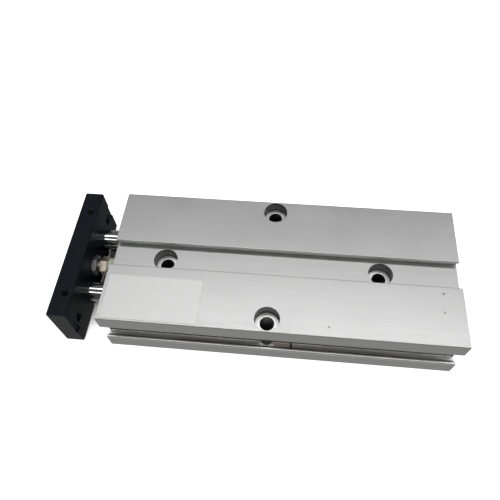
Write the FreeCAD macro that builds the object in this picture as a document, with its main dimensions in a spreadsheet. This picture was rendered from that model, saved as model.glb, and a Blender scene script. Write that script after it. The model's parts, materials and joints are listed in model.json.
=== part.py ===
import FreeCAD, Part
import math
import os
from types import SimpleNamespace

import Sketcher
from FreeCAD import Placement, Rotation, Vector

# A guided air cylinder with two parallel rods. Millimetres, +Z up, +X from the end plate towards the rear.
# The origin is the centre of the four mounting holes, on the underside of the body.

# Driving dimensions: alias, value in millimetres, meaning.
DIMENSIONS = [
    ("stroke", 75.0, "travel of the rods"),
    ("body_height", 27.6, "body from underside to top"),
    ("rod_web", 12.0, "metal between the two bores"),
    ("side_wall", 1.15, "bore to the side mounting hole beside it"),
    ("counterbore_rim", 0.65, "side counterbore to the body's side"),
    ("front_hole_inset", 22.8, "body's front face to the first mounting hole in the channel"),
    ("rear_hole_inset", 32.2, "last mounting hole in the channel to the rear face"),
    ("edge_radius", 0.5, "long outer edges of the body"),
    ("channel_mouth_radius", 0.3, "edges of the channel's mouth"),
    ("slot_mouth_radius", 0.75, "edges of the side slot's mouth"),
    ("bore_radius", 8.0, "cylinder bores"),
    ("seat_step", 0.5, "bore wall to the flange seat at each end"),
    ("flange_thickness", 2.8, "flange of a rod cover or rear cap"),
    ("channel_width", 12.3, "mouth of the channel along the top"),
    ("channel_depth", 3.8, "top face to the channel's floor"),
    ("channel_lip", 1.3, "thickness of the lip over each side of the channel"),
    ("channel_undercut", 1.1, "reach of the channel under each lip"),
    ("slot_mouth", 10.3, "height of the side slot's mouth"),
    ("slot_pocket", 14.4, "height of the side slot behind its lips"),
    ("slot_lip_flat", 1.0, "flat edge of each slot lip"),
    ("slot_lip_depth", 2.5, "outer face to the inner end of a slot lip"),
    ("slot_depth", 4.3, "outer face to the back of the side slot"),
    ("mount_hole_radius", 3.0, "through holes for the mounting screws"),
    ("counterbore_radius", 5.2, "seats for the mounting screws' heads"),
    ("counterbore_depth", 5.0, "depth of those seats"),
    ("port_radius", 2.1, "wall of the tapped air ports"),
    ("port_depth", 6.0, "depth of the tapped air ports"),
    ("passage_radius", 1.25, "drilled air passages behind the ports"),
    ("ring_recess", 1.2, "end face to the snap ring"),
    ("ring_thickness", 1.0, "snap rings"),
    ("ring_play", 0.1, "axial play of a snap ring in its groove"),
    ("ring_groove_depth", 0.6, "flange seat to the floor of the snap ring groove"),
    ("ring_rod_clearance", 2.2, "rod to the inside of a snap ring"),
    ("ring_gap", 3.6, "opening of a snap ring"),
    ("ring_lug_radius", 1.15, "rounded lugs of a snap ring"),
    ("ring_lug_inset", 0.3, "inside of a snap ring to the centres of its lugs"),
    ("ring_eye_radius", 0.55, "tool holes in those lugs"),
    ("cover_length", 33.8, "rod cover"),
    ("cover_entry_clearance", 0.5, "rod to the mouth of a rod cover"),
    ("cover_entry_depth", 1.2, "depth of that mouth"),
    ("cover_land_clearance", 0.3, "rod to the lands beside its seal"),
    ("cover_land_width", 1.4, "land between the rod seal and the bush"),
    ("rod_seal_depth", 1.8, "rod to the floor of its seal's groove"),
    ("rod_seal_width", 3.2, "rod seal"),
    ("seal_lip_depth", 1.0, "hollow between the lips of a seal"),
    ("bush_wall", 0.75, "rod to the outside of its bush"),
    ("oring_groove_depth", 1.2, "bore wall to the floor of an outer seal ring's groove"),
    ("oring_groove_width", 1.8, "those grooves"),
    ("oring_groove_inset", 3.0, "inner end of a cover to its seal ring groove"),
    ("cap_land", 0.5, "rear cap, between its seal ring groove and its flange"),
    ("cap_hollow_radius", 4.5, "hollow in the rear cap's outer face"),
    ("cap_hollow_depth", 1.6, "depth of that hollow"),
    ("cap_oring_inset", 0.7, "inner face of the rear cap to its seal ring groove"),
    ("cushion_thickness", 2.0, "resilient washers at both ends of the travel"),
    ("cushion_clearance", 0.4, "those washers to the bore and to the rod"),
    ("end_clearance", 0.5, "pistons to the washers at either end of the travel"),
    ("seat_fit", 0.02, "radial clearance of covers and caps in the bores"),
    ("rod_radius", 5.0, "piston rods"),
    ("bush_clearance", 0.025, "radial running clearance of a rod in its bush"),
    ("seal_clearance", 0.05, "radial clearance at the sliding seals"),
    ("spigot_radius", 3.0, "thinned end of a rod that carries the piston"),
    ("spigot_end", 0.3, "end of the spigot inside the piston's rear face"),
    ("rod_tap_clearance", 1.5, "screw's end to the end of the tapped hole in a rod"),
    ("piston_clearance", 0.3, "pistons to the bore"),
    ("piston_half_length", 10.0, "each half of a piston"),
    ("magnet_width", 4.0, "magnet between the halves"),
    ("magnet_clearance", 0.8, "magnet to the bore"),
    ("piston_seal_inset", 2.6, "front face of a piston to its seal groove"),
    ("piston_seal_width", 3.2, "piston seal"),
    ("piston_seal_depth", 2.6, "bore wall to the floor of the piston seal's groove"),
    ("wear_ring_inset", 2.0, "magnet to the wear ring's groove"),
    ("wear_ring_width", 3.0, "wear ring"),
    ("wear_ring_depth", 1.1, "bore wall to the floor of the wear ring's groove"),
    ("wear_clearance", 0.03, "radial running clearance of a wear ring"),
    ("piston_nut_flats", 10.0, "nut on the spigot, across flats"),
    ("piston_nut_height", 3.0, "height of that nut"),
    ("nut_recess_clearance", 0.25, "nut's corners to its recess in the piston"),
    ("nut_cover", 0.6, "nut to the piston's rear face"),
    ("plate_gap", 12.5, "end plate to the body's front face, retracted"),
    ("plate_thickness", 8.4, "end plate"),
    ("plate_side_step", 0.4, "body's side to the end plate's"),
    ("plate_top_step", 0.8, "body's top to the end plate's, and the same below"),
    ("plate_chamfer", 0.4, "edges of the end plate"),
    ("plate_hole_radius", 2.5, "wall of the tapped holes in the plate's face"),
    ("plate_hole_offset", 25.7, "middle of the plate to those holes"),
    ("plate_top_hole_radius", 1.65, "wall of the tapped holes in the plate's top"),
    ("plate_top_hole_step", 7.0, "rod axis to the tapped hole beside it in the plate's top"),
    ("plate_top_hole_inset", 3.2, "plate's inner face to those holes"),
    ("plate_top_hole_depth", 8.0, "depth of those holes"),
    ("plate_relief_height", 8.0, "shallow relief at each end of the plate's inner face"),
    ("plate_relief_depth", 0.7, "depth of that relief"),
    ("plate_relief_length", 3.0, "reach of that relief from the plate's end"),
    ("screw_radius", 2.5, "shank of the screws between plate and rods"),
    ("screw_length", 12.0, "shank of those screws"),
    ("screw_hole_clearance", 0.25, "radial clearance of those screws in the plate"),
    ("screw_head_radius", 4.25, "their heads"),
    ("screw_head_height", 5.0, "their heads"),
    ("screw_head_cover", 0.2, "screw head to the plate's outer face"),
    ("screw_recess_clearance", 0.5, "radial clearance of a head in its recess"),
    ("screw_socket_flats", 4.0, "hexagon socket of those screws"),
    ("screw_socket_depth", 2.5, "depth of that socket"),
    ("screw_bevel", 0.5, "bevels of those screws"),
    ("bolt_radius", 2.5, "shank of the adjusting bolt"),
    ("bolt_flats", 8.0, "head of the adjusting bolt, across flats"),
    ("bolt_head_height", 3.5, "that head"),
    ("bolt_end_inset", 0.8, "plate's outer face to the end of the adjusting bolt"),
    ("jam_nut_flats", 8.0, "jam nut, across flats"),
    ("jam_nut_height", 2.5, "jam nut"),
    ("bolt_free_length", 1.5, "jam nut to the bolt's head"),
    ("bumper_radius", 4.0, "resilient bumper on the bolt's head"),
    ("bumper_pin_radius", 1.7, "pin of the bumper inside the bolt's head"),
    ("bumper_pin_length", 2.0, "that pin"),
    ("bumper_bevel", 0.5, "edge of the bumper"),
    ("bumper_rest_gap", 0.3, "bumper to the body's front face, retracted"),
    ("label_length", 40.0, "blank label on the top face"),
    ("label_width", 20.0, "that label"),
    ("label_thickness", 0.15, "that label"),
    ("label_from_front", 1.6, "body's front face to the label"),
    ("label_from_side", 0.9, "body's slot side to the label"),
    ("label_corner", 0.8, "corner radius of the label"),
]

OVERSHOOT = 1.0
HEX_CORNER = 1.0 / math.cos(math.pi / 6.0)
HEX_CHAMFER_START = 0.95
HEX_CHAMFER_SLOPE = math.tan(math.radians(30.0))
RING_LUG_ANGLE = math.radians(25.0)
CUT_TOLERANCE = 1e-6

os.makedirs("parts", exist_ok=True)
doc = FreeCAD.newDocument("guided_cylinder")
sheet = doc.addObject("Spreadsheet::Sheet", "Sizes")


class Size:
    """A length that carries its number and the sheet expression that gives it."""

    def __init__(self, value, text):
        self.value = value
        self.text = text

    def _join(self, other, sign, result):
        return Size(result, "(%s %s %s)" % (self.text, sign, as_size(other).text))

    def __add__(self, other):
        return self._join(other, "+", self.value + as_size(other).value)

    def __sub__(self, other):
        return self._join(other, "-", self.value - as_size(other).value)

    def __mul__(self, other):
        return self._join(other, "*", self.value * as_size(other).value)

    def __truediv__(self, other):
        return self._join(other, "/", self.value / as_size(other).value)

    def __rmul__(self, other):
        return as_size(other) * self

    def __neg__(self):
        return as_size(-1.0) * self


def as_size(number):
    """A plain number as a Size, and a Size as it is."""
    if isinstance(number, Size):
        return number
    return Size(float(number), "(%.9f)" % number)


def fill_sheet():
    """Write each driving dimension into the sheet and return them by alias."""
    sizes = {}
    for row, (alias, value, meaning) in enumerate(DIMENSIONS, start=1):
        sheet.set("A%d" % row, alias)
        sheet.set("B%d" % row, "%g" % value)
        sheet.set("C%d" % row, meaning)
        sheet.setAlias("B%d" % row, alias)
        sizes[alias] = Size(value, "Sizes." + alias)
    doc.recompute()
    return SimpleNamespace(**sizes)


s = fill_sheet()

# Sizes that follow from others, across the body.
axis_height = s.body_height / 2.0
half_pitch = s.bore_radius + s.rod_web / 2.0
side_hole_offset = half_pitch + s.bore_radius + s.side_wall + s.mount_hole_radius
half_width = side_hole_offset + s.counterbore_radius + s.counterbore_rim
seat_radius = s.bore_radius + s.seat_step
flange_radius = seat_radius - s.seat_fit
ring_groove_radius = seat_radius + s.ring_groove_depth
ring_radius = ring_groove_radius - s.ring_play
oring_floor = s.bore_radius - s.oring_groove_depth
bush_radius = s.rod_radius + s.bush_wall
piston_radius = s.bore_radius - s.piston_clearance
half_plate = half_width - s.plate_side_step
plate_low_z = s.plate_top_step
plate_high_z = s.body_height - s.plate_top_step

# Places along X. The body is as long as the parts stacked in its bores, and the origin is
# half way between the two mounting holes in the channel.
ring_end = s.ring_recess + s.ring_thickness
cap_length = s.cap_oring_inset + s.oring_groove_width + s.cap_land + s.flange_thickness
piston_length = s.piston_half_length + s.magnet_width + s.piston_half_length
travel_room = s.stroke + piston_length + 2.0 * (s.end_clearance + s.cushion_thickness)
body_length = ring_end + s.cover_length + travel_room + cap_length + ring_end
half_spacing = (body_length - s.front_hole_inset - s.rear_hole_inset) / 2.0
front_x = -half_spacing - s.front_hole_inset
rear_x = front_x + body_length
front_ring_x = front_x + s.ring_recess
cover_x = front_x + ring_end
cover_end_x = cover_x + s.cover_length
piston_x = cover_end_x + s.cushion_thickness + s.end_clearance + s.stroke
magnet_x = piston_x + s.piston_half_length
piston_rear_x = magnet_x + s.magnet_width
piston_end_x = piston_rear_x + s.piston_half_length
rear_cushion_x = piston_end_x + s.end_clearance
cap_x = rear_cushion_x + s.cushion_thickness
cap_end_x = cap_x + cap_length
seat_depth = ring_end + s.flange_thickness
nut_x = piston_end_x - s.piston_nut_height - s.nut_cover
plate_inner_x = front_x - s.plate_gap
plate_outer_x = plate_inner_x - s.plate_thickness
screw_head_x = plate_outer_x + s.screw_head_cover
screw_seat_x = screw_head_x + s.screw_head_height
screw_end_x = screw_seat_x + s.screw_length
jam_nut_end_x = plate_inner_x + s.jam_nut_height
bolt_head_x = jam_nut_end_x + s.bolt_free_length
bumper_x = bolt_head_x + s.bolt_head_height
bumper_end_x = front_x - s.bumper_rest_gap

SIDES = (("port_side", 1.0), ("slot_side", -1.0))


class Piece:
    """One sub-part: a body made of sketched features, all bound to the sheet."""

    def __init__(self, label, offset_y=None, offset_z=None):
        self.body = doc.addObject("PartDesign::Body", "Body_" + label)
        self.body.Label = label
        self.count = 0
        if offset_y is not None:
            self.body.setExpression("Placement.Base.y", as_size(offset_y).text)
        if offset_z is not None:
            self.body.setExpression("Placement.Base.z", as_size(offset_z).text)

    def _feature(self, kind, purpose):
        self.count += 1
        return self.body.newObject(kind, "%s_%s_%d" % (self.body.Label, purpose, self.count))

    def _sketch(self, plane, offset):
        sketch = self._feature("Sketcher::SketchObject", "sketch")
        for origin_plane in self.body.Origin.OriginFeatures:
            if origin_plane.Role == plane:
                sketch.AttachmentSupport = [(origin_plane, "")]
        sketch.MapMode = "FlatFace"
        sketch.setExpression("AttachmentOffset.Base.z", as_size(offset).text)
        return sketch

    @staticmethod
    def _fix(sketch, geometry, point, along, across):
        for kind, size in (("DistanceX", as_size(along)), ("DistanceY", as_size(across))):
            index = sketch.addConstraint(Sketcher.Constraint(kind, geometry, point, size.value))
            sketch.setExpression("Constraints[%d]" % index, size.text)

    def circles(self, plane, offset, centres, radius):
        """A sketch of equal circles, or of rings where radius is a pair."""
        sketch = self._sketch(plane, offset)
        radii = radius if isinstance(radius, tuple) else (radius,)
        for along, across in centres:
            for each in radii:
                middle = Vector(as_size(along).value, as_size(across).value, 0)
                geometry = sketch.addGeometry(Part.Circle(middle, Vector(0, 0, 1), as_size(each).value))
                index = sketch.addConstraint(Sketcher.Constraint("Radius", geometry, as_size(each).value))
                sketch.setExpression("Constraints[%d]" % index, as_size(each).text)
                self._fix(sketch, geometry, 3, along, across)
        return sketch

    def outline(self, plane, offset, points):
        """A sketch of one closed outline with straight sides."""
        sketch = self._sketch(plane, offset)
        corners = [Vector(as_size(u).value, as_size(v).value, 0) for u, v in points]
        for index, corner in enumerate(corners):
            following = corners[(index + 1) % len(corners)]
            sketch.addGeometry(Part.LineSegment(corner, following))
        for index, (along, across) in enumerate(points):
            following = (index + 1) % len(points)
            sketch.addConstraint(Sketcher.Constraint("Coincident", index, 2, following, 1))
            self._fix(sketch, index, 1, along, across)
        return sketch

    def rectangle(self, plane, offset, low, high):
        """A sketch of one rectangle between two corners."""
        return self.outline(plane, offset, [low, (high[0], low[1]), high, (low[0], high[1])])

    def hexagon(self, plane, offset, across_flats):
        """A sketch of one hexagon on the axis, a corner to the right."""
        corner = across_flats * (HEX_CORNER / 2.0)
        points = []
        for turn in range(6):
            angle = turn * math.pi / 3.0
            points.append((corner * math.cos(angle), corner * math.sin(angle)))
        return self.outline(plane, offset, points)

    def _run(self, feature, sketch, cuts):
        before = self.body.Shape.Volume if cuts else 0.0
        feature.Profile = sketch
        doc.recompute()
        change = self.body.Shape.Volume - before
        if (cuts and change > -CUT_TOLERANCE) or (not cuts and change < CUT_TOLERANCE):
            raise RuntimeError("%s does nothing" % feature.Name)
        return feature

    def pad(self, sketch, length, forward=True):
        """Add the sketch, extruded along its plane's normal, or against it."""
        feature = self._feature("PartDesign::Pad", "pad")
        feature.setExpression("Length", as_size(length).text)
        feature.Reversed = not forward
        return self._run(feature, sketch, cuts=False)

    def cut(self, sketch, length, forward=True):
        """Remove the sketch, extruded along its plane's normal, or against it."""
        feature = self._feature("PartDesign::Pocket", "pocket")
        feature.setExpression("Length", as_size(length).text)
        feature.Reversed = forward
        return self._run(feature, sketch, cuts=True)

    def turn(self, points, plane="XZ_Plane"):
        """Add a half section of x and radius, turned about the X axis."""
        sketch = self.outline(plane, 0.0, points)
        feature = self._feature("PartDesign::Revolution", "turned")
        feature.ReferenceAxis = (sketch, ["H_Axis"])
        return self._run(feature, sketch, cuts=False)

    def turn_away(self, points, plane="XZ_Plane"):
        """Remove a half section of x and radius, turned about the X axis."""
        sketch = self.outline(plane, 0.0, points)
        feature = self._feature("PartDesign::Groove", "groove")
        feature.ReferenceAxis = (sketch, ["H_Axis"])
        return self._run(feature, sketch, cuts=True)

    def round_edges(self, chosen, radius, kind="PartDesign::Fillet"):
        """Round or bevel the edges that the chosen test picks."""
        base = self.body.Tip
        names = []
        for index, edge in enumerate(base.Shape.Edges, start=1):
            if chosen(edge):
                names.append("Edge%d" % index)
        feature = self._feature(kind, "edges")
        feature.Base = (base, names)
        size_name = "Radius" if kind.endswith("Fillet") else "Size"
        feature.setExpression(size_name, as_size(radius).text)
        doc.recompute()
        return feature

    def bevel_edges(self, chosen, size):
        """Bevel the edges that the chosen test picks."""
        return self.round_edges(chosen, size, "PartDesign::Chamfer")

    def bevel_hexagon(self, end_x, across_flats, inward):
        """Take off the corners of a hexagon at one end; inward is the way to the other end."""
        start = across_flats * (HEX_CHAMFER_START / 2.0)
        beyond = across_flats * HEX_CORNER / 2.0 + OVERSHOOT
        depth = (beyond - start) * (HEX_CHAMFER_SLOPE * inward)
        self.turn_away([(end_x, start), (end_x, beyond), (end_x + depth, beyond)])


def lies_along(edge, axis):
    """True for a straight edge along one axis, 0 for X, 1 for Y, 2 for Z."""
    if not isinstance(edge.Curve, Part.Line):
        return False
    return abs(edge.Curve.Direction[axis]) > 0.999


def make_barrel_body():
    """The extruded body with its bores, seats, channel, side slot, ports and mounting holes."""
    piece = Piece("barrel_body")
    mouth = s.channel_width / 2.0
    under = mouth + s.channel_undercut
    top = s.body_height
    lip_z = top - s.channel_lip
    floor_z = top - s.channel_depth
    slot_low = axis_height - s.slot_mouth / 2.0
    slot_high = axis_height + s.slot_mouth / 2.0
    pocket_low = axis_height - s.slot_pocket / 2.0
    pocket_high = axis_height + s.slot_pocket / 2.0
    outer = -half_width
    flat_y = outer + s.slot_lip_flat
    lip_y = outer + s.slot_lip_depth
    back_y = outer + s.slot_depth
    section = [
        (outer, 0.0), (half_width, 0.0), (half_width, top),
        (mouth, top), (mouth, lip_z), (under, lip_z), (under, floor_z),
        (-under, floor_z), (-under, lip_z), (-mouth, lip_z), (-mouth, top),
        (outer, top),
        (outer, slot_high), (flat_y, slot_high), (lip_y, pocket_high), (back_y, pocket_high),
        (back_y, pocket_low), (lip_y, pocket_low), (flat_y, slot_low), (outer, slot_low),
    ]
    piece.pad(piece.outline("YZ_Plane", front_x, section), body_length)

    def outer_long_edge(edge):
        middle = edge.CenterOfMass
        at_side = abs(abs(middle.y) - half_width.value) < CUT_TOLERANCE
        at_level = min(abs(middle.z), abs(middle.z - top.value)) < CUT_TOLERANCE
        return lies_along(edge, 0) and at_side and at_level

    def channel_mouth_edge(edge):
        middle = edge.CenterOfMass
        at_channel = abs(abs(middle.y) - mouth.value) + abs(middle.z - top.value) < CUT_TOLERANCE
        return lies_along(edge, 0) and at_channel

    def slot_mouth_edge(edge):
        middle = edge.CenterOfMass
        slot_edge = min(abs(middle.z - slot_low.value), abs(middle.z - slot_high.value))
        at_slot = abs(middle.y - outer.value) + slot_edge < CUT_TOLERANCE
        return lies_along(edge, 0) and at_slot

    piece.round_edges(outer_long_edge, s.edge_radius)
    piece.round_edges(channel_mouth_edge, s.channel_mouth_radius)
    piece.round_edges(slot_mouth_edge, s.slot_mouth_radius)
    axes = [(side * half_pitch, axis_height) for name, side in SIDES]
    start = front_x - OVERSHOOT
    piece.cut(piece.circles("YZ_Plane", start, axes, s.bore_radius), body_length + 2.0 * OVERSHOOT)
    groove_width = s.ring_thickness + s.ring_play
    piece.cut(piece.circles("YZ_Plane", front_x, axes, seat_radius), seat_depth)
    piece.cut(piece.circles("YZ_Plane", rear_x, axes, seat_radius), seat_depth, forward=False)
    groove_x = front_ring_x - s.ring_play
    piece.cut(piece.circles("YZ_Plane", groove_x, axes, ring_groove_radius), groove_width)
    piece.cut(piece.circles("YZ_Plane", cap_end_x, axes, ring_groove_radius), groove_width)

    # The XZ plane's normal points to -Y, so the far side lies at a negative offset.
    ports = [(port_x, axis_height) for port_x in (cover_end_x + s.passage_radius, cap_x - s.passage_radius)]
    piece.cut(piece.circles("XZ_Plane", -half_width, ports, s.port_radius), s.port_depth)
    piece.cut(piece.circles("XZ_Plane", -half_width, ports, s.passage_radius), half_width + half_pitch)

    side_holes = [(0.0, side * side_hole_offset) for name, side in SIDES]
    channel_holes = [(side * half_spacing, 0.0) for name, side in SIDES]
    for centres, seat_z in ((side_holes, top), (channel_holes, floor_z)):
        through = piece.circles("XY_Plane", top, centres, s.mount_hole_radius)
        piece.cut(through, top, forward=False)
        seats = piece.circles("XY_Plane", seat_z, centres, s.counterbore_radius)
        piece.cut(seats, s.counterbore_depth, forward=False)
    return piece


def make_rod_cover(name, side):
    """The turned cover that closes a bore's front end and holds the rod seal and the bush."""
    piece = Piece("rod_cover_" + name, side * half_pitch, axis_height)
    body_radius = s.bore_radius - s.seat_fit
    shoulder_x = cover_x + s.flange_thickness
    groove_end_x = cover_end_x - s.oring_groove_inset
    groove_x = groove_end_x - s.oring_groove_width
    seal_x = cover_x + s.cover_entry_depth
    land_x = seal_x + s.rod_seal_width
    bush_x = land_x + s.cover_land_width
    entry_radius = s.rod_radius + s.cover_entry_clearance
    land_radius = s.rod_radius + s.cover_land_clearance
    groove_floor = s.rod_radius + s.rod_seal_depth
    piece.turn([
        (cover_x, entry_radius), (cover_x, flange_radius),
        (shoulder_x, flange_radius), (shoulder_x, body_radius),
        (groove_x, body_radius), (groove_x, oring_floor),
        (groove_end_x, oring_floor), (groove_end_x, body_radius),
        (cover_end_x, body_radius), (cover_end_x, bush_radius),
        (bush_x, bush_radius), (bush_x, land_radius),
        (land_x, land_radius), (land_x, groove_floor),
        (seal_x, groove_floor), (seal_x, entry_radius),
    ])
    return piece


def make_rod_bush(name, side):
    """The plain bearing pressed into a rod cover."""
    piece = Piece("rod_bush_" + name, side * half_pitch, axis_height)
    start = cover_x + s.cover_entry_depth + s.rod_seal_width + s.cover_land_width
    inside = s.rod_radius + s.bush_clearance
    piece.turn([(start, inside), (start, bush_radius), (cover_end_x, bush_radius), (cover_end_x, inside)])
    return piece


def make_rod_seal(name, side):
    """The lipped seal between a rod cover and its rod."""
    piece = Piece("rod_seal_" + name, side * half_pitch, axis_height)
    start = cover_x + s.cover_entry_depth
    end = start + s.rod_seal_width
    inside = s.rod_radius + s.seal_clearance
    outside = s.rod_radius + s.rod_seal_depth
    middle = (inside + outside) / 2.0
    piece.turn([
        (start, inside), (start, outside), (end, outside),
        (end - s.seal_lip_depth, middle), (end, inside),
    ])
    return piece


def make_outer_oring(label, groove_x, side):
    """A seal ring that fills the groove of a rod cover or of a rear cap."""
    ring = doc.addObject("Part::Torus", "Ring_" + label)
    ring.Label = label
    thickness = (s.bore_radius - oring_floor) / 2.0
    ring.Placement = Placement(Vector(), Rotation(Vector(0, 1, 0), 90))
    ring.setExpression("Radius1", ((s.bore_radius + oring_floor) / 2.0).text)
    ring.setExpression("Radius2", thickness.text)
    ring.setExpression("Placement.Base.x", (groove_x + s.oring_groove_width / 2.0).text)
    ring.setExpression("Placement.Base.y", (side * half_pitch).text)
    ring.setExpression("Placement.Base.z", axis_height.text)
    return ring


def make_snap_ring(label, ring_x, side):
    """An open ring with two eyed lugs, its opening upwards."""
    piece = Piece(label, side * half_pitch, axis_height)
    inside = s.rod_radius + s.ring_rod_clearance
    centre = [(0.0, 0.0)]
    piece.pad(piece.circles("YZ_Plane", ring_x, centre, (ring_radius, inside)), s.ring_thickness)
    reach = inside - s.ring_lug_inset
    along = reach * math.sin(RING_LUG_ANGLE)
    across = reach * math.cos(RING_LUG_ANGLE)
    lugs = [(along, across), (-along, across)]
    piece.pad(piece.circles("YZ_Plane", ring_x, lugs, s.ring_lug_radius), s.ring_thickness)
    piece.cut(piece.circles("YZ_Plane", ring_x, lugs, s.ring_eye_radius), s.ring_thickness)
    half_gap = s.ring_gap / 2.0
    gap_top = ring_radius + OVERSHOOT
    opening = piece.rectangle("YZ_Plane", ring_x, (-half_gap, s.rod_radius), (half_gap, gap_top))
    piece.cut(opening, s.ring_thickness)
    return piece


def make_cushion(label, start_x, side):
    """The resilient washer that a piston would meet at one end of its travel."""
    piece = Piece(label, side * half_pitch, axis_height)
    end_x = start_x + s.cushion_thickness
    inside = s.rod_radius + s.cushion_clearance
    outside = s.bore_radius - s.cushion_clearance
    piece.turn([(start_x, inside), (start_x, outside), (end_x, outside), (end_x, inside)])
    return piece


def make_rear_cap(name, side):
    """The turned cap that closes a bore's rear end."""
    piece = Piece("rear_cap_" + name, side * half_pitch, axis_height)
    body_radius = s.bore_radius - s.seat_fit
    shoulder_x = cap_end_x - s.flange_thickness
    groove_x = cap_x + s.cap_oring_inset
    groove_end_x = groove_x + s.oring_groove_width
    hollow_x = cap_end_x - s.cap_hollow_depth
    piece.turn([
        (cap_x, 0.0), (cap_x, body_radius),
        (groove_x, body_radius), (groove_x, oring_floor),
        (groove_end_x, oring_floor), (groove_end_x, body_radius),
        (shoulder_x, body_radius), (shoulder_x, flange_radius),
        (cap_end_x, flange_radius), (cap_end_x, s.cap_hollow_radius),
        (hollow_x, s.cap_hollow_radius), (hollow_x, 0.0),
    ])
    return piece


def make_piston_rod(name, side):
    """A rod from the end plate to its piston, tapped in front and thinned to a spigot behind."""
    piece = Piece("piston_rod_" + name, side * half_pitch, axis_height)
    spigot_end_x = piston_end_x - s.spigot_end
    tap_end_x = screw_end_x + s.rod_tap_clearance
    piece.turn([
        (plate_inner_x, s.screw_radius), (plate_inner_x, s.rod_radius),
        (piston_x, s.rod_radius), (piston_x, s.spigot_radius),
        (spigot_end_x, s.spigot_radius), (spigot_end_x, 0.0),
        (tap_end_x, 0.0), (tap_end_x, s.screw_radius),
    ])
    return piece


def make_piston_front(name, side):
    """The front half of a piston, grooved for the seal."""
    piece = Piece("piston_front_" + name, side * half_pitch, axis_height)
    groove_x = piston_x + s.piston_seal_inset
    groove_end_x = groove_x + s.piston_seal_width
    floor = s.bore_radius - s.piston_seal_depth
    piece.turn([
        (piston_x, s.spigot_radius), (piston_x, piston_radius),
        (groove_x, piston_radius), (groove_x, floor),
        (groove_end_x, floor), (groove_end_x, piston_radius),
        (magnet_x, piston_radius), (magnet_x, s.spigot_radius),
    ])
    return piece


def make_piston_seal(name, side):
    """The lipped seal of a piston."""
    piece = Piece("piston_seal_" + name, side * half_pitch, axis_height)
    start = piston_x + s.piston_seal_inset
    end = start + s.piston_seal_width
    outside = s.bore_radius - s.seal_clearance
    inside = s.bore_radius - s.piston_seal_depth
    middle = (outside + inside) / 2.0
    piece.turn([
        (start, inside), (start, outside), (end, outside),
        (end - s.seal_lip_depth, middle), (end, inside),
    ])
    return piece


def make_piston_magnet(name, side):
    """The ring magnet clamped between the two halves of a piston."""
    piece = Piece("piston_magnet_" + name, side * half_pitch, axis_height)
    outside = s.bore_radius - s.magnet_clearance
    piece.turn([
        (magnet_x, s.spigot_radius), (magnet_x, outside),
        (piston_rear_x, outside), (piston_rear_x, s.spigot_radius),
    ])
    return piece


def make_piston_rear(name, side):
    """The rear half of a piston, grooved for the wear ring and recessed for its nut."""
    piece = Piece("piston_rear_" + name, side * half_pitch, axis_height)
    groove_x = piston_rear_x + s.wear_ring_inset
    groove_end_x = groove_x + s.wear_ring_width
    floor = s.bore_radius - s.wear_ring_depth
    recess_radius = s.piston_nut_flats * (HEX_CORNER / 2.0) + s.nut_recess_clearance
    piece.turn([
        (piston_rear_x, s.spigot_radius), (piston_rear_x, piston_radius),
        (groove_x, piston_radius), (groove_x, floor),
        (groove_end_x, floor), (groove_end_x, piston_radius),
        (piston_end_x, piston_radius), (piston_end_x, recess_radius),
        (nut_x, recess_radius), (nut_x, s.spigot_radius),
    ])
    return piece


def make_wear_ring(name, side):
    """The plain ring that carries a piston in its bore."""
    piece = Piece("wear_ring_" + name, side * half_pitch, axis_height)
    start = piston_rear_x + s.wear_ring_inset
    end = start + s.wear_ring_width
    outside = s.bore_radius - s.wear_clearance
    inside = s.bore_radius - s.wear_ring_depth
    piece.turn([(start, inside), (start, outside), (end, outside), (end, inside)])
    return piece


def make_piston_nut(name, side):
    """The thin nut that clamps a piston on its spigot."""
    piece = Piece("piston_nut_" + name, side * half_pitch, axis_height)
    piece.pad(piece.hexagon("YZ_Plane", nut_x, s.piston_nut_flats), s.piston_nut_height)
    piece.cut(piece.circles("YZ_Plane", nut_x, [(0.0, 0.0)], s.spigot_radius), s.piston_nut_height)
    return piece


def make_end_plate():
    """The tooling plate that joins both rods."""
    piece = Piece("end_plate")
    low = (-half_plate, plate_low_z)
    high = (half_plate, plate_high_z)
    block = piece.rectangle("YZ_Plane", plate_outer_x, low, high)
    piece.pad(block, s.plate_thickness)
    piece.bevel_edges(lambda edge: True, s.plate_chamfer)
    relief_low = axis_height - s.plate_relief_height / 2.0
    relief_high = axis_height + s.plate_relief_height / 2.0
    for name, side in SIDES:
        inner = side * (half_plate - s.plate_relief_length)
        outer = side * (half_plate + OVERSHOOT)
        relief = piece.rectangle("YZ_Plane", plate_inner_x, (inner, relief_low), (outer, relief_high))
        piece.cut(relief, s.plate_relief_depth, forward=False)
    axes = [(side * half_pitch, axis_height) for name, side in SIDES]
    recess_radius = s.screw_head_radius + s.screw_recess_clearance
    recess_depth = s.screw_head_cover + s.screw_head_height
    piece.cut(piece.circles("YZ_Plane", plate_outer_x, axes, recess_radius), recess_depth)
    clearance_radius = s.screw_radius + s.screw_hole_clearance
    piece.cut(piece.circles("YZ_Plane", plate_outer_x, axes, clearance_radius), s.plate_thickness)
    middle = [(0.0, axis_height)]
    piece.cut(piece.circles("YZ_Plane", plate_outer_x, middle, s.bolt_radius), s.plate_thickness)
    tapped = [(side * s.plate_hole_offset, axis_height) for name, side in SIDES]
    piece.cut(piece.circles("YZ_Plane", plate_outer_x, tapped, s.plate_hole_radius), s.plate_thickness)
    top_x = plate_inner_x - s.plate_top_hole_inset
    top_offset = half_pitch + s.plate_top_hole_step
    top_holes = [(top_x, side * top_offset) for name, side in SIDES]
    top_sketch = piece.circles("XY_Plane", plate_high_z, top_holes, s.plate_top_hole_radius)
    piece.cut(top_sketch, s.plate_top_hole_depth, forward=False)
    return piece


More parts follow.
